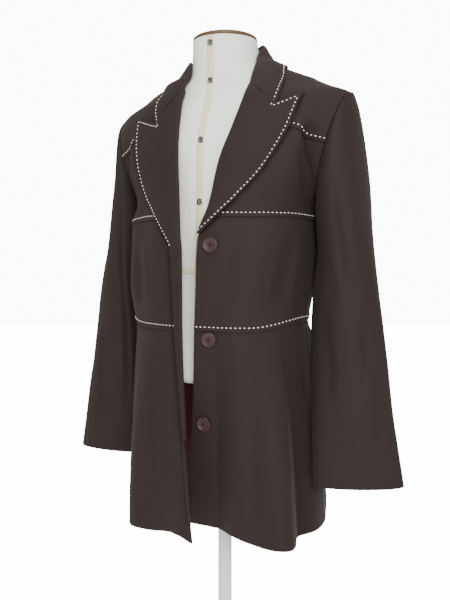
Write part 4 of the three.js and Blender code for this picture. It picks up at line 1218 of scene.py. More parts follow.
def tape(name, angles, heights, half, lift=0.7):
    """A flat tape on the form, along the given angles and heights."""
    normal = form_normal(angles, heights)
    centre = form_surface(angles, heights)
    along = unit(np.gradient(centre, axis=0))
    beside = unit(np.cross(normal, along))
    columns = np.array([-1, -0.97, -0.5, 0, 0.5, 0.97, 1]) * half
    rises = np.array([0.1, 1, 1, 1, 1, 1, 0.1]) * lift
    flat = centre[:, None] + beside[:, None] * columns[None, :, None]
    outer = flat + normal[:, None] * rises[None, :, None]
    inner = flat - normal[:, None] * TAPE_SUNK
    return wall(name, outer, inner)


# Sewing: runs of thread along the seams and the free edges
def inset_run(grid, normals, distance, axis, end):
    """Points on the cloth at a distance from one end of each row or column."""
    if axis == 0:
        grid, normals = grid.swapaxes(0, 1), normals.swapaxes(0, 1)
    if end:
        grid, normals = grid[:, ::-1], normals[:, ::-1]
    run = run_along(grid, 1)
    points, ups = [], []
    for row, up, length in zip(grid, normals, run):
        k = int(np.clip(np.searchsorted(length, distance), 1, len(length) - 1))
        t = (distance - length[k - 1]) / (length[k] - length[k - 1])
        points.append(mix(row[k - 1], row[k], t))
        ups.append(mix(up[k - 1], up[k], t))
    return np.array(points), unit(np.array(ups))


def outward_normals(grid, away_from):
    normals = grid_normals(grid)
    middle = tuple(size // 2 for size in grid.shape[:2])
    if np.dot(normals[middle], grid[middle] - away_from) < 0:
        normals = -normals
    return normals


def sewn_line(points, normals, sizes):
    """Places of single stitches along a line: middle, direction and outward normal."""
    run = run_along(points, 0)
    count = int(run[-1] // sizes["pitch"])
    start = (run[-1] - count * sizes["pitch"]) / 2
    middles = start + (np.arange(count) + 0.5) * sizes["pitch"]

    def read(values, at):
        return np.stack([np.interp(at, run, values[:, k]) for k in range(3)], -1)

    centre = read(points, middles)
    along = unit(read(points, middles + 1.5) - read(points, middles - 1.5))
    up = read(normals, middles)
    up = unit(up - along * np.sum(up * along, -1, keepdims=True))
    return centre, along, up


def stitch_template():
    """One raised stitch, modelled from a ball: drawn out long and pressed down at both ends."""
    bpy.ops.object.select_all(action="DESELECT")
    bpy.ops.mesh.primitive_uv_sphere_add(segments=8, ring_count=6, radius=0.5)
    stitch = bpy.context.active_object
    bpy.ops.object.mode_set(mode="EDIT")
    bpy.ops.mesh.select_all(action="SELECT")
    bpy.ops.transform.rotate(value=math.pi / 2, orient_axis="Y", center_override=(0, 0, 0))
    bpy.ops.object.mode_set(mode="OBJECT")
    verts = np.array([tuple(vert.co) for vert in stitch.data.vertices])
    faces = [list(face.vertices) for face in stitch.data.polygons]
    bpy.data.objects.remove(stitch, do_unlink=True)
    return verts, faces


def stitches(name, lines, sizes):
    """One object of many stitches, each a copy of the one raised stitch."""
    template, template_faces = stitch_template()
    verts, faces, uvs = [], [], []
    total = 0
    for points, normals in lines:
        for centre, along, up in zip(*sewn_line(points, normals, sizes)):
            beside = np.cross(up, along)
            flat = template * np.array([sizes["length"], sizes["width"], sizes["width"] * 0.8])
            droop = -0.25 * sizes["width"] * (2 * np.abs(template[:, 0])) ** 2
            height = flat[:, 2] + droop + sizes["width"] * 0.16
            verts.append(centre + flat[:, :1] * along + flat[:, 1:2] * beside + height[:, None] * up)
            faces.extend([[v + total for v in face] for face in template_faces])
            total += len(template)
    return mesh_object(name, np.concatenate(verts), faces)


def beyond_lapel(side, points, normals, clear=-5):
    """The part of a line that the lapel leaves bare."""
    name = side_name(side)
    edge = LAPEL_EDGE.line(f"{name}_x", f"{name}_z")
    order = np.argsort(edge[:, 1])
    covered = np.interp(points[:, 2], edge[order, 1], edge[order, 0])
    bare = points[:, 0] * side > covered + clear
    return points[bare], normals[bare]


def corner_clear(points, normals, other, distance):
    gap = np.linalg.norm(points[:, None] - other[None], axis=-1).min(axis=1)
    keep = gap >= distance
    return points[keep], normals[keep]


# Turned and drilled pieces
def turned_piece(name, profile, place=(0, 0, 0), normal=(0, 0, 1), sides=64, bevel=0.4):
    """A round piece drawn up from a disc, ring by ring, then rounded and set on its face."""
    bpy.ops.object.select_all(action="DESELECT")
    radius, height = profile[0]
    bpy.ops.mesh.primitive_circle_add(vertices=sides, radius=radius * MM, fill_type="NGON",
                                      location=(0, 0, height * MM))
    piece = bpy.context.active_object
    bpy.ops.object.transform_apply(location=True, rotation=True, scale=True)
    bpy.ops.object.mode_set(mode="EDIT")
    bpy.ops.mesh.select_mode(type="FACE")
    bpy.ops.mesh.select_all(action="SELECT")
    for next_radius, next_height in profile[1:]:
        bpy.ops.mesh.extrude_region_move(
            TRANSFORM_OT_translate={"value": (0, 0, (next_height - height) * MM)})
        scale = next_radius / radius
        bpy.ops.transform.resize(value=(scale, scale, 1), center_override=(0, 0, next_height * MM))
        radius, height = next_radius, next_height
    bpy.ops.mesh.select_all(action="SELECT")
    bpy.ops.mesh.normals_make_consistent(inside=False)
    bpy.ops.object.mode_set(mode="OBJECT")
    rounding = piece.modifiers.new("rounding", "BEVEL")
    rounding.width, rounding.segments, rounding.limit_method = bevel * MM, 3, "ANGLE"
    rounding.angle_limit = math.radians(25)
    bpy.ops.object.modifier_apply(modifier=rounding.name)
    bpy.ops.object.shade_smooth_by_angle(angle=math.radians(40))
    if tuple(normal) != (0, 0, 1) or tuple(place) != (0, 0, 0):
        turn = Vector(normal).to_track_quat("Z", "Y").to_matrix().to_4x4()
        piece.matrix_world = Matrix.Translation(Vector(place) * MM) @ turn
        bpy.ops.object.select_all(action="DESELECT")
        piece.select_set(True)
        bpy.context.view_layer.objects.active = piece
        bpy.ops.object.transform_apply(location=True, rotation=True, scale=True)
    piece.name = piece.data.name = name
    return piece


def button_seat(x, z):
    """Where a button stands on the left front, and the way it faces."""
    angle = angle_at(LEFT, x, z)
    normal = surface_normal(LEFT, angle, z, False)
    return surface(LEFT, angle, z, False) + normal * BUTTON_SEAT, normal


def button_piece(name, x, z):
    r, t = BUTTON_RADIUS, BUTTON_THICKNESS
    profile = [(r - 1.6, 0), (r - 0.4, 0.6), (r, 1.5), (r, t - 1.2), (r - 0.6, t - 0.3), (r - 1.5, t),
               (r - 2.4, t - 0.3), (r - 3.2, t - 1.1), (r - 4.2, t - 1.45), (0.5, t - 1.3)]
    place, normal = button_seat(x, z)
    piece = turned_piece(name, profile, bevel=0.15)
    bpy.ops.object.select_all(action="DESELECT")
    drills = []
    for hole_x, hole_y in ((-2.5, 0), (2.5, 0), (0, -2.5), (0, 2.5)):
        bpy.ops.mesh.primitive_cylinder_add(vertices=16, radius=1.15 * MM, depth=4 * t * MM,
                                            location=(hole_x * MM, hole_y * MM, 0))
        drills.append(bpy.context.active_object)
    bpy.ops.object.select_all(action="DESELECT")
    for drill in drills:
        drill.select_set(True)
    bpy.context.view_layer.objects.active = drills[0]
    bpy.ops.object.join()
    drill = bpy.context.active_object
    bpy.ops.object.select_all(action="DESELECT")
    piece.select_set(True)
    bpy.context.view_layer.objects.active = piece
    cut = piece.modifiers.new("holes", "BOOLEAN")
    cut.operation, cut.object, cut.solver = "DIFFERENCE", drill, "EXACT"
    bpy.ops.object.modifier_apply(modifier=cut.name)
    bpy.data.objects.remove(drill, do_unlink=True)
    bpy.ops.object.shade_smooth_by_angle(angle=math.radians(40))
    turn = button_turn(normal)
    piece.matrix_world = Matrix.Translation(Vector(place) * MM) @ turn
    bpy.ops.object.transform_apply(location=True, rotation=True, scale=True)
    return piece


def button_turn(normal):
    """Sets a button's face along the normal, with its holes level."""
    face = Vector(normal)
    level = Vector((0, 0, 1)).cross(face).normalized()
    upright = face.cross(level)
    return Matrix((level, upright, face)).transposed().to_4x4()


# Materials
GROUPS, LOOKS = {}, {}


def ramp(nodes, stops):
    mapped = nodes.new("ShaderNodeValToRGB")
    while len(mapped.color_ramp.elements) < len(stops):
        mapped.color_ramp.elements.new(0.5)
    for element, (position, colour) in zip(mapped.color_ramp.elements, stops):
        element.position = position
        element.color = (*colour, 1)
    return mapped


def multiplied(nodes, links, first, second):
    product = nodes.new("ShaderNodeMix")
    product.data_type, product.blend_type = "RGBA", "MULTIPLY"
    product.inputs["Factor"].default_value = 1
    links.new(first, product.inputs["A"])
    links.new(second, product.inputs["B"])
    return product.outputs["Result"]


def fabric_group():
    """Woven cloth: fine slanting ribs, uneven threads and soft patches of tone."""
    group = bpy.data.node_groups.new("woven cloth", "ShaderNodeTree")
    face = group.interface
    face.new_socket("Cloth", in_out="INPUT", socket_type="NodeSocketVector")
    face.new_socket("Place", in_out="INPUT", socket_type="NodeSocketVector")
    for label, value in (("Rib scale", 400.0), ("Rib depth", 0.5), ("Patch scale", 9.0)):
        face.new_socket(label, in_out="INPUT", socket_type="NodeSocketFloat").default_value = value
    for label in ("Height", "Tone", "Patch"):
        face.new_socket(label, in_out="OUTPUT", socket_type="NodeSocketFloat")
    nodes, links = group.nodes, group.links
    come, leave = nodes.new("NodeGroupInput"), nodes.new("NodeGroupOutput")
    ribs = nodes.new("ShaderNodeTexWave")
    ribs.bands_direction = "DIAGONAL"
    ribs.inputs["Distortion"].default_value = 0.6
    ribs.inputs["Detail"].default_value = 1.5
    threads = nodes.new("ShaderNodeTexNoise")
    threads.inputs["Scale"].default_value = 900
    threads.inputs["Detail"].default_value = 3
    patches = nodes.new("ShaderNodeTexNoise")
    patches.inputs["Detail"].default_value = 3
    links.new(come.outputs["Cloth"], ribs.inputs["Vector"])
    links.new(come.outputs["Rib scale"], ribs.inputs["Scale"])
    links.new(come.outputs["Cloth"], threads.inputs["Vector"])
    links.new(come.outputs["Place"], patches.inputs["Vector"])
    links.new(come.outputs["Patch scale"], patches.inputs["Scale"])
    raised = nodes.new("ShaderNodeMath")
    raised.operation = "MULTIPLY"
    links.new(ribs.outputs["Fac"], raised.inputs[0])
    links.new(come.outputs["Rib depth"], raised.inputs[1])
    height = nodes.new("ShaderNodeMath")
    height.operation = "ADD"
    links.new(raised.outputs[0], height.inputs[0])
    links.new(threads.outputs["Fac"], height.inputs[1])
    tone = nodes.new("ShaderNodeMath")
    tone.operation = "MULTIPLY"
    tone.inputs[1].default_value = 0.5
    links.new(height.outputs[0], tone.inputs[0])
    links.new(height.outputs[0], leave.inputs["Height"])
    links.new(tone.outputs[0], leave.inputs["Tone"])
    links.new(patches.outputs["Fac"], leave.inputs["Patch"])
    return group


def painted_shade_group():
    """Paints shade into a cloth's colour by its painted-shade attribute: in folds, creases, the chest dent
    and beside the lapel edges.
    """
    group = bpy.data.node_groups.new("painted fold shade", "ShaderNodeTree")
    face = group.interface
    face.new_socket("Colour", in_out="INPUT", socket_type="NodeSocketColor")
    face.new_socket("Colour", in_out="OUTPUT", socket_type="NodeSocketColor")
    nodes, links = group.nodes, group.links
    come, leave = nodes.new("NodeGroupInput"), nodes.new("NodeGroupOutput")
    folds = nodes.new("ShaderNodeAttribute")
    folds.attribute_name = FOLD_SHADE
    # From the cloth's own colour down to a dark brown where the painted shade is deepest
    shade_ramp = ramp(nodes, ((0, (1, 1, 1)), (1, (0.16, 0.1, 0.08))))
    links.new(folds.outputs["Fac"], shade_ramp.inputs["Fac"])
    shaded = multiplied(nodes, links, come.outputs["Colour"], shade_ramp.outputs["Color"])
    links.new(shaded, leave.inputs["Colour"])
    return group


def grain_group():
    """Grain or mottling in a solid piece: long streaks and fine specks."""
    group = bpy.data.node_groups.new("grain", "ShaderNodeTree")
    face = group.interface
    face.new_socket("Place", in_out="INPUT", socket_type="NodeSocketVector")
    for label, value in (("Streaks", 60.0), ("Specks", 300.0)):
        face.new_socket(label, in_out="INPUT", socket_type="NodeSocketFloat").default_value = value
    for label in ("Streak", "Speck"):
        face.new_socket(label, in_out="OUTPUT", socket_type="NodeSocketFloat")
    nodes, links = group.nodes, group.links
    come, leave = nodes.new("NodeGroupInput"), nodes.new("NodeGroupOutput")
    streaks, specks = nodes.new("ShaderNodeTexNoise"), nodes.new("ShaderNodeTexNoise")
    streaks.inputs["Detail"].default_value = 5
    streaks.inputs["Distortion"].default_value = 0.6
    specks.inputs["Detail"].default_value = 2
    for texture, scale, label in ((streaks, "Streaks", "Streak"), (specks, "Specks", "Speck")):
        links.new(come.outputs["Place"], texture.inputs["Vector"])
        links.new(come.outputs[scale], texture.inputs["Scale"])
        links.new(texture.outputs["Fac"], leave.inputs[label])
    return group


def base_material(name):
    material = bpy.data.materials.new(name)
    material.use_nodes = True
    nodes, links = material.node_tree.nodes, material.node_tree.links
    shader = nodes["Principled BSDF"]
    place = nodes.new("ShaderNodeTexCoord")
    return material, nodes, links, shader, place


def shades(colour, low, high):
    return tuple(c * low for c in colour), tuple(c * high for c in colour)


def vary_roughness(nodes, links, source, shader, rough, spread):
    dull = nodes.new("ShaderNodeMapRange")
    dull.inputs["To Min"].default_value = rough - spread
    dull.inputs["To Max"].default_value = rough + spread
    links.new(source, dull.inputs["Value"])
    links.new(dull.outputs["Result"], shader.inputs["Roughness"])


def add_relief(nodes, links, source, shader, bump, strength):
    relief = nodes.new("ShaderNodeBump")
    relief.inputs["Strength"].default_value = strength
    relief.inputs["Distance"].default_value = bump * MM
    links.new(source, relief.inputs["Height"])
    links.new(relief.outputs["Normal"], shader.inputs["Normal"])


def cloth_material(name, colour, rib_scale, rib_depth, rough, bump, contrast,
                   sheen=0.0, sheen_colour=(1, 1, 1), patch_scale=9.0):
    material, nodes, links, shader, place = base_material(name)
    weave = nodes.new("ShaderNodeGroup")
    weave.node_tree = GROUPS["fabric"]
    weave.inputs["Rib scale"].default_value = rib_scale
    weave.inputs["Rib depth"].default_value = rib_depth
    weave.inputs["Patch scale"].default_value = patch_scale
    links.new(place.outputs["UV"], weave.inputs["Cloth"])
    links.new(place.outputs["Object"], weave.inputs["Place"])
    dark, light = shades(colour, 1 - contrast, 1 + contrast)
    tone = ramp(nodes, ((0.1, dark), (0.75, light)))
    links.new(weave.outputs["Tone"], tone.inputs["Fac"])
    soft = ramp(nodes, ((0.3, (1 - contrast * 0.8,) * 3), (0.7, (1 + contrast * 0.5,) * 3)))
    links.new(weave.outputs["Patch"], soft.inputs["Fac"])
    blend = multiplied(nodes, links, tone.outputs["Color"], soft.outputs["Color"])
    # Painted shade darkens the base colour in folds, creases and beside the lapels
    folds = nodes.new("ShaderNodeGroup")
    folds.node_tree = GROUPS["folds"]
    links.new(blend, folds.inputs["Colour"])
    links.new(folds.outputs["Colour"], shader.inputs["Base Color"])
    vary_roughness(nodes, links, weave.outputs["Patch"], shader, rough, 0.06)
    add_relief(nodes, links, weave.outputs["Height"], shader, bump, 1)
    shader.inputs["Sheen Weight"].default_value = sheen
    shader.inputs["Sheen Roughness"].default_value = 0.5
    shader.inputs["Sheen Tint"].default_value = (*sheen_colour, 1)
    shader.inputs["Specular IOR Level"].default_value = 0.18
    LOOKS[name] = material
    return material


def solid_material(name, colour, streak_scale, speck_scale, rough, contrast, bump,
                   metal=0.0, coat=0.0, stretch=(1, 1, 1)):
    material, nodes, links, shader, place = base_material(name)
    mapping = nodes.new("ShaderNodeMapping")
    mapping.inputs["Scale"].default_value = stretch
    links.new(place.outputs["Object"], mapping.inputs["Vector"])
    grain = nodes.new("ShaderNodeGroup")
    grain.node_tree = GROUPS["grain"]
    grain.inputs["Streaks"].default_value, grain.inputs["Specks"].default_value = streak_scale, speck_scale
    links.new(mapping.outputs["Vector"], grain.inputs["Place"])
    dark, light = shades(colour, 1 - contrast, 1 + contrast * 0.7)
    tone = ramp(nodes, ((0.3, dark), (0.7, light)))
    links.new(grain.outputs["Streak"], tone.inputs["Fac"])
    links.new(tone.outputs["Color"], shader.inputs["Base Color"])
    vary_roughness(nodes, links, grain.outputs["Speck"], shader, rough, 0.08)
    add_relief(nodes, links, grain.outputs["Speck"], shader, bump, 0.6)
    shader.inputs["Metallic"].default_value = metal
    shader.inputs["Coat Weight"].default_value = coat
    LOOKS[name] = material
    return material


def build_materials(colours):
    GROUPS.update(fabric=fabric_group(), folds=painted_shade_group(), grain=grain_group())
    cloth_material("suiting", tuple(colours.suiting), 640, 0.55, 0.7, 0.12, 0.1, sheen=0.04,
                   sheen_colour=(0.9, 0.8, 0.76), patch_scale=7)
    cloth_material("lining satin", tuple(colours.lining), 900, 0.3, 0.4, 0.05, 0.12, sheen=0.1)
    cloth_material("form linen", tuple(colours.linen), 420, 0.6, 0.85, 0.12, 0.05, patch_scale=14)
    cloth_material("cotton tape", tuple(colours.tape), 500, 0.6, 0.85, 0.15, 0.06)
    solid_material("thread", tuple(colours.thread), 400, 2500, 0.7, 0.08, 0.1)
    solid_material("button thread", tuple(colours.button_thread), 400, 2500, 0.7, 0.1, 0.1)
    solid_material("button horn", tuple(colours.button), 130, 900, 0.5, 0.22, 0.02, coat=0.08)
    solid_material("cork wood", tuple(colours.wood), 26, 420, 0.6, 0.4, 0.15, stretch=(1, 5, 3))
    solid_material("stud steel", tuple(colours.steel), 90, 1500, 0.2, 0.12, 0.01, metal=1)
    solid_material("white paint", tuple(colours.paint), 12, 700, 0.38, 0.03, 0.03, coat=0.2)


def dress(piece, look, replaces=None):
    piece.data.materials.clear()
    piece.data.materials.append(LOOKS[look])
    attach(piece, "root")
    if replaces:
        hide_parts(*([replaces] if isinstance(replaces, str) else replaces))
    return piece


def piece_name(part, side):
    return f"{part}_{side_name(side)}"


def cloth_name(part, side=None):
    return f"cloth_{part}" if side is None else f"cloth_{part}_{side_name(side)}"


def pattern_operator(pieces_of, context):
    for side in (LEFT, RIGHT):
        for part, (edges, sewn) in pieces_of(side).items():
            name = cloth_name(part, side)
            piece = panel(name, side, edges, sewn, thickness=context.scene.blazer_sizes.cloth / MM)
            dress(piece, "suiting", piece_name(part, side))


def length_setting(label, text, default):
    return bpy.props.FloatProperty(name=label, description=text, default=default, min=0.0001, unit="LENGTH",
                                   precision=4)


def colour_setting(label, text, default):
    return bpy.props.FloatVectorProperty(name=label, description=text, default=default, size=3, min=0, max=1,
                                         subtype="COLOR")


class BlazerSizes(bpy.types.PropertyGroup):
    """Sizes of the cloth and its sewing."""

    cloth: length_setting("Cloth", "Thickness of the suiting", 0.002)
    stitch_length: length_setting("Stitch length", "Length of one raised stitch", 0.0034)
    stitch_pitch: length_setting("Stitch pitch", "From one stitch to the next", 0.0069)
    stitch_width: length_setting("Stitch width", "Thickness of the thread", 0.0015)
    edge_inset: length_setting("Edge inset", "Stitches from a lapel or collar edge", 0.006)
    seam_inset: length_setting("Seam inset", "Stitches from a seam", 0.007)
    tape_width: length_setting("Tape width", "Width of the tapes on the dress form", 0.011)


class BlazerColours(bpy.types.PropertyGroup):
    """Colours of the cloth, its sewing and the dress form."""

    suiting: colour_setting("Suiting", "Outer cloth", (0.0222, 0.0138, 0.0118))
    lining: colour_setting("Lining", "Satin lining", (0.05, 0.0015, 0.004))
    thread: colour_setting("Thread", "Raised stitches", (0.98, 0.93, 0.85))
    button: colour_setting("Buttons", "Horn buttons", (0.034, 0.0095, 0.008))
    button_thread: colour_setting("Button thread", "Thread in the buttons", (0.004, 0.0025, 0.002))
    linen: colour_setting("Linen", "Cover of the dress form", (0.95, 0.95, 0.88))
    tape: colour_setting("Tape", "Tapes on the dress form", (0.86, 0.78, 0.52))
    wood: colour_setting("Cap", "Neck cap of the dress form", (0.12, 0.06, 0.02))
    steel: colour_setting("Studs", "Domed studs", (0.3, 0.29, 0.26))
    paint: colour_setting("Stand", "Painted pole and base", (0.8, 0.82, 0.83))


class BLAZER_OT_fronts(bpy.types.Operator):
    """Cuts both fronts: skirt, side, midriff, chest and yoke"""

    bl_idname = "blazer.fronts"
    bl_label = "Fronts"

    def execute(self, context):
        pattern_operator(front_pieces, context)
        return {"FINISHED"}


class BLAZER_OT_backs(bpy.types.Operator):
    """Cuts the back and its skirt, and the lining that shows below it"""

    bl_idname = "blazer.backs"
    bl_label = "Back and lining"

    def execute(self, context):
        pattern_operator(back_pieces, context)
        for side in (LEFT, RIGHT):
            sewn = dict.fromkeys(("near", "far", "bottom", "top"), "none")
            piece = panel(cloth_name("lining", side), side, lining_edges(side), sewn, lining_hang, 1, 5)
            dress(piece, "lining satin", piece_name("lining", side))
        return {"FINISHED"}


class BLAZER_OT_lapels(bpy.types.Operator):
    """Turns out the lapels and lays the collar round the neck"""

    bl_idname = "blazer.lapels"
    bl_label = "Lapels and collar"

    def execute(self, context):
        for side, flat, area in ((LEFT, (0.14, 0.27), 0.02), (RIGHT, (0.14, 0.7), 0.033)):
            piece = lapel_wall(side)
            piece.name = cloth_name("lapel", side)
            dress(piece, "suiting", piece_name("lapel", side))
        piece = collar_wall()
        piece.name = cloth_name("collar")
        dress(piece, "suiting", "collar")
        return {"FINISHED"}


class BLAZER_OT_sleeves(bpy.types.Operator):
    """Sets in both sleeves, each of a top and an under half"""

    bl_idname = "blazer.sleeves"
    bl_label = "Sleeves"

    def execute(self, context):
        for side in (LEFT, RIGHT):
            for part, start, end in (("sleeve_top", -78, 158), ("sleeve_under", 158, 282)):
                piece = sleeve_wall(side, f"cloth_{part}", start, end)
                dress(piece, "suiting", piece_name(part, side))
        return {"FINISHED"}


class BLAZER_OT_stitching(bpy.types.Operator):
    """Sews raised stitches along the lapels, the collar and the cross seams"""

    bl_idname = "blazer.stitching"
    bl_label = "Stitching"

    def execute(self, context):
        settings = context.scene.blazer_sizes
        sizes = {"length": settings.stitch_length / MM, "pitch": settings.stitch_pitch / MM,
                 "width": settings.stitch_width / MM}
        edge_inset, seam_inset = settings.edge_inset / MM, settings.seam_inset / MM
        body_axis = np.array([0, 20, 1250])
        past_roll, slack, notch_reach, above_cloth = 14, 0.3, 12, 0.7
        lines, meeting = [], {}
        for side in (LEFT, RIGHT):
            grid = GRIDS[piece_name("lapel", side)]
            if side == RIGHT:
                grid = grid[grid[:, -1, 2] > LAPEL_STITCH_FOOT_Z]
            normals = outward_normals(grid, body_axis)
            edge, edge_up = inset_run(grid, normals, edge_inset, 1, True)
            top, top_up = inset_run(grid[:, past_roll:], normals[:, past_roll:], edge_inset, 0, True)
            notch = np.array(NOTCH[side], float)
            outside = top[:, 0] * side > notch[0]
            top, top_up = top[outside], top_up[outside]
            kept_edge = corner_clear(edge, edge_up, grid[-1, past_roll:][outside], edge_inset - slack)
            kept_top = corner_clear(top, top_up, grid[:, -1], edge_inset - slack)
            run_in = unit(kept_top[0][0] - kept_top[0][4])
            end = kept_top[0][0] + run_in * notch_reach + kept_top[1][0] * above_cloth
            meeting[side] = (end, kept_top[1][0])
            lines.append((np.concatenate([kept_edge[0], kept_top[0][::-1], [end]]),
                          np.concatenate([kept_edge[1], kept_top[1][::-1], kept_top[1][:1]])))
        dress(stitches("stitches_lapels", lines, sizes), "thread")
        grid = GRIDS["collar"]
        normals = outward_normals(grid, np.array([0, 20, 1380]))
        run, run_up = inset_run(grid, normals, edge_inset, 1, True)
        line = (np.concatenate([[meeting[RIGHT][0]], run[3:-3], [meeting[LEFT][0]]]),
                np.concatenate([[meeting[RIGHT][1]], run_up[3:-3], [meeting[LEFT][1]]]))
        dress(stitches("stitches_collar", [line], sizes), "thread")
        for part, name in (("front_yoke", "yoke"), ("front_chest", "chest"), ("front_midriff", "waist"),
                           ("back", "back_waist")):
            lines = []
            for side in (LEFT, RIGHT):
                grid = GRIDS[cloth_name(part, side)]
                normals = outward_normals(grid, body_axis * [1, 1, 0] + [0, 0, grid[2, 0, 2]])
                points, ups = inset_run(grid, normals, seam_inset, 0, False)
                if name in ("yoke", "chest"):
                    points, ups = beyond_lapel(side, points, ups)
                lines.append((points, ups))
            dress(stitches(f"stitches_{name}", lines, sizes), "thread")
        return {"FINISHED"}


class BLAZER_OT_buttons(bpy.types.Operator):
    """Turns and drills the buttons, sews them on and works the buttonhole"""

    bl_idname = "blazer.buttons"
    bl_label = "Buttons"

    def execute(self, context):
        cross = {"length": 6.8, "pitch": 6.4, "width": 1.7}
        button_dip, hole_reach = 1.3, 3.3
        for name, x, z in BUTTONS:
            piece = button_piece(f"horn_button_{name}", x, z)
            dress(piece, "button horn", f"button_{name}")
            place, normal = button_seat(x, z)
            turn = np.array(button_turn(normal))[:3, :3]
            lines = []
            for way, over in ((turn[:, 0], 0.4), (turn[:, 1], 0.1)):
                lift = BUTTON_THICKNESS - button_dip + over
                middle = place + normal * lift
                points = np.stack([middle - way * hole_reach, middle, middle + way * hole_reach])
                lines.append((points, np.stack([normal] * 3)))
            dress(stitches(f"button_thread_{name}", lines, cross), "button thread")
        # Only the lowest buttonhole shows; the folded edge hides the others
        cord = {"length": 1.5, "pitch": 0.9, "width": 2}
        x, z = np.linspace(12.5, 20, 12), 824.0
        angle = angle_at(RIGHT, x, z)
        line = (surface(RIGHT, angle, z), surface_normal(RIGHT, angle, z))
        dress(stitches("buttonhole_bottom", [line], cord), "button thread")
        return {"FINISHED"}


class BLAZER_OT_form(bpy.types.Operator):
    """Builds the linen dress form with its tapes, studs and neck cap"""

    bl_idname = "blazer.form"
    bl_label = "Dress form"

    def execute(self, context):
        dress(form_body(), "form linen", "form_body")
        half = context.scene.blazer_sizes.tape_width / MM / 2
        heights = np.linspace(FORM_BOTTOM_Z + 6, FORM_TOP_Z - 1, 90)
        dress(tape("tape_centre", 0 * heights, heights, half * 1.1), "cotton tape")
        around = np.linspace(-60, 60, 50)
        dress(tape("tape_waist", around, TAPE_WAIST_Z + 0 * around, half, 0.5), "cotton tape")
        for index, z in enumerate(STUD_HEIGHTS, 1):
            r = STUD_RADIUS
            place = form_surface(0, z) + form_normal(0.0, float(z)) * STAND_GAP
            profile = [(r - 0.3, 0), (r, 0.3), (r, 0.7), (r * 0.9, 1.2), (r * 0.7, 1.7),
                       (r * 0.42, 2.05), (r * 0.12, 2.2)]
            piece = turned_piece(f"steel_stud_{index}", profile, place, form_normal(0.0, float(z)), 32, 0.1)
            dress(piece, "stud steel", f"stud_{index}")
        r, h = NECK_RADIUS, CAP_HEIGHT
        profile = [(r - 1.5, 0), (r, 1.5), (r, 3.5), (r - 1.2, 5.5), (r - 4, 7.4), (r - 8, 8.9),
                   (r - 15, 10.2), (r - 24, h), (2, h)]
        neck_middle = float(FORM.at("middle", FORM_TOP_Z))
        place = (0, neck_middle, FORM_TOP_Z + STAND_GAP)
        piece = turned_piece("wooden_cap", profile, place, sides=96, bevel=0.5)
        dress(piece, "cork wood", "neck_cap")
        return {"FINISHED"}


class BLAZER_OT_stand(bpy.types.Operator):
    """Builds the painted pole, its socket and the round base"""

    bl_idname = "blazer.stand"
    bl_label = "Stand"

    def execute(self, context):
        socket_z = BASE_THICKNESS + STAND_GAP
        pole_z = socket_z + SOCKET_HEIGHT + STAND_GAP
        r = POLE_RADIUS
        pole_height = FORM_BOTTOM_Z - STAND_GAP - pole_z
        pole = [(r - 0.6, 0), (r, 0.6), (r, pole_height - 0.6), (r - 0.6, pole_height)]
        socket = [(29.5, 0), (30, 0.6), (29.6, 2.4), (27, 5), (r + 9, 8), (r + 6, 12),
                  (r + 6, SOCKET_HEIGHT - 3), (r + 5.2, SOCKET_HEIGHT - 0.9), (r + 3.5, SOCKET_HEIGHT)]
        base = [(BASE_RADIUS - 1, 0), (BASE_RADIUS, 1), (BASE_RADIUS, 7), (BASE_RADIUS - 1, 9),
                (BASE_RADIUS - 4, BASE_THICKNESS), (40, BASE_THICKNESS)]
        for name, node, profile, z, sides in (("painted_pole", "pole", pole, pole_z, 64),
                                              ("painted_socket", "pole_socket", socket, socket_z, 64),
                                              ("painted_base", "base", base, 0, 128)):
            piece = turned_piece(name, profile, (0, 0, z), sides=sides)
            dress(piece, "white paint", node)
        return {"FINISHED"}


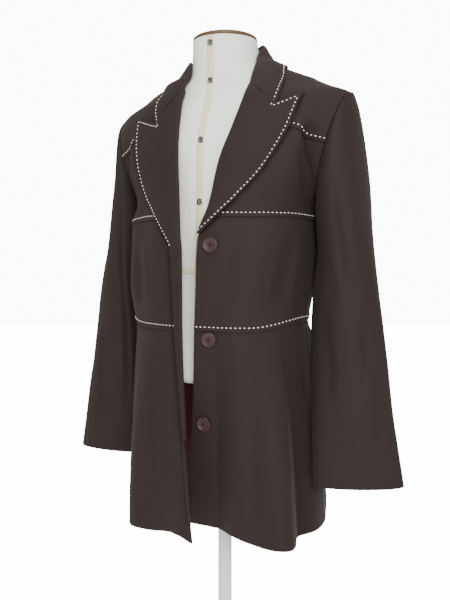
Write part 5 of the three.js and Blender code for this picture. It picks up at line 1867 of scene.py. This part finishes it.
class BLAZER_OT_stage(bpy.types.Operator):
    """Sets the pale floor, the soft lights and the camera"""

    bl_idname = "blazer.stage"
    bl_label = "Stage"

    def execute(self, context):
        scene = context.scene
        bpy.ops.object.select_all(action="DESELECT")
        bpy.ops.mesh.primitive_circle_add(vertices=128, radius=9, fill_type="NGON", location=(0, 0, -0.0005))
        floor = context.active_object
        floor.name = "studio_floor"
        material, nodes, links, shader, place = base_material("studio floor")
        shader.inputs["Base Color"].default_value = (0.9, 0.9, 0.9, 1)
        shader.inputs["Roughness"].default_value = 0.9
        shader.inputs["Emission Color"].default_value = (1, 1, 1, 1)
        view = nodes.new("ShaderNodeLightPath")
        glow = nodes.new("ShaderNodeMath")
        glow.operation, glow.inputs[1].default_value, glow.inputs[2].default_value = "MULTIPLY_ADD", 14, 0.4
        links.new(view.outputs["Is Camera Ray"], glow.inputs[0])
        links.new(glow.outputs[0], shader.inputs["Emission Strength"])
        floor.data.materials.append(material)
        world = bpy.data.worlds.new("studio")
        scene.world = world
        world.use_nodes = True
        tree = world.node_tree
        soft = tree.nodes["Background"]
        soft.inputs["Color"].default_value = (1, 0.97, 0.94, 1)
        soft.inputs["Strength"].default_value = 0.45
        white = tree.nodes.new("ShaderNodeBackground")
        white.inputs["Strength"].default_value = 14
        seen = tree.nodes.new("ShaderNodeLightPath")
        choose = tree.nodes.new("ShaderNodeMixShader")
        tree.links.new(seen.outputs["Is Camera Ray"], choose.inputs["Fac"])
        tree.links.new(soft.outputs["Background"], choose.inputs[1])
        tree.links.new(white.outputs["Background"], choose.inputs[2])
        tree.links.new(choose.outputs["Shader"], tree.nodes["World Output"].inputs["Surface"])
        for name, place, aim, power, size in (
                ("key", (1.7, -2.6, 2.3), (0, 0, 1.1), 120, 1.4),
                ("fill", (-2.4, -2.0, 1.6), (0, 0, 1.05), 14, 2.2),
                ("top", (0.2, -0.4, 3.4), (0, 0, 1.2), 35, 1.8),
                ("behind", (-1.2, 2.8, 2.2), (0, 0, 1.1), 22, 2.0)):
            lamp = bpy.data.lights.new(name, "AREA")
            lamp.energy, lamp.size = power, size
            holder = bpy.data.objects.new(name, lamp)
            scene.collection.objects.link(holder)
            holder.location = place
            holder.rotation_euler = (Vector(aim) - Vector(place)).to_track_quat("-Z", "Y").to_euler()
        camera = bpy.data.cameras.new("photograph")
        camera.lens, camera.sensor_width = 42.66, 36
        # The photograph's level line runs 55 of its 600 pixels above the middle
        camera.shift_y = -55 / 600
        holder = bpy.data.objects.new("photograph", camera)
        scene.collection.objects.link(holder)
        turn, distance, eye_height = math.radians(26), 1.2, 1.1
        holder.location = (distance * math.sin(turn), -distance * math.cos(turn), eye_height)
        holder.rotation_euler = (math.radians(90), 0, turn)
        scene.camera = holder
        return {"FINISHED"}


OPERATORS = (BLAZER_OT_stage, BLAZER_OT_fronts, BLAZER_OT_backs, BLAZER_OT_lapels, BLAZER_OT_sleeves,
             BLAZER_OT_stitching, BLAZER_OT_buttons, BLAZER_OT_form, BLAZER_OT_stand)


class BLAZER_PT_pieces(bpy.types.Panel):
    """The pieces of the blazer, in the order of making"""

    bl_label = "Blazer"
    bl_space_type = "VIEW_3D"
    bl_region_type = "UI"
    bl_category = "Blazer"

    def draw(self, context):
        layout = self.layout
        for group in (context.scene.blazer_sizes, context.scene.blazer_colours):
            box = layout.box()
            for key in group.__annotations__:
                box.prop(group, key)
        for operator in OPERATORS:
            layout.operator(operator.bl_idname)


CLASSES = (BlazerSizes, BlazerColours, *OPERATORS, BLAZER_PT_pieces)


def register():
    for entry in CLASSES:
        bpy.utils.register_class(entry)
    bpy.types.Scene.blazer_sizes = bpy.props.PointerProperty(type=BlazerSizes)
    bpy.types.Scene.blazer_colours = bpy.props.PointerProperty(type=BlazerColours)


def unregister():
    del bpy.types.Scene.blazer_sizes
    del bpy.types.Scene.blazer_colours
    for entry in reversed(CLASSES):
        bpy.utils.unregister_class(entry)


def main():
    register()
    build_materials(bpy.context.scene.blazer_colours)
    blazer = bpy.ops.blazer
    blazer.stage()
    blazer.fronts()
    blazer.backs()
    blazer.lapels()
    blazer.sleeves()
    blazer.stitching()
    blazer.buttons()
    blazer.form()
    blazer.stand()


if __name__ == "__main__":
    main()
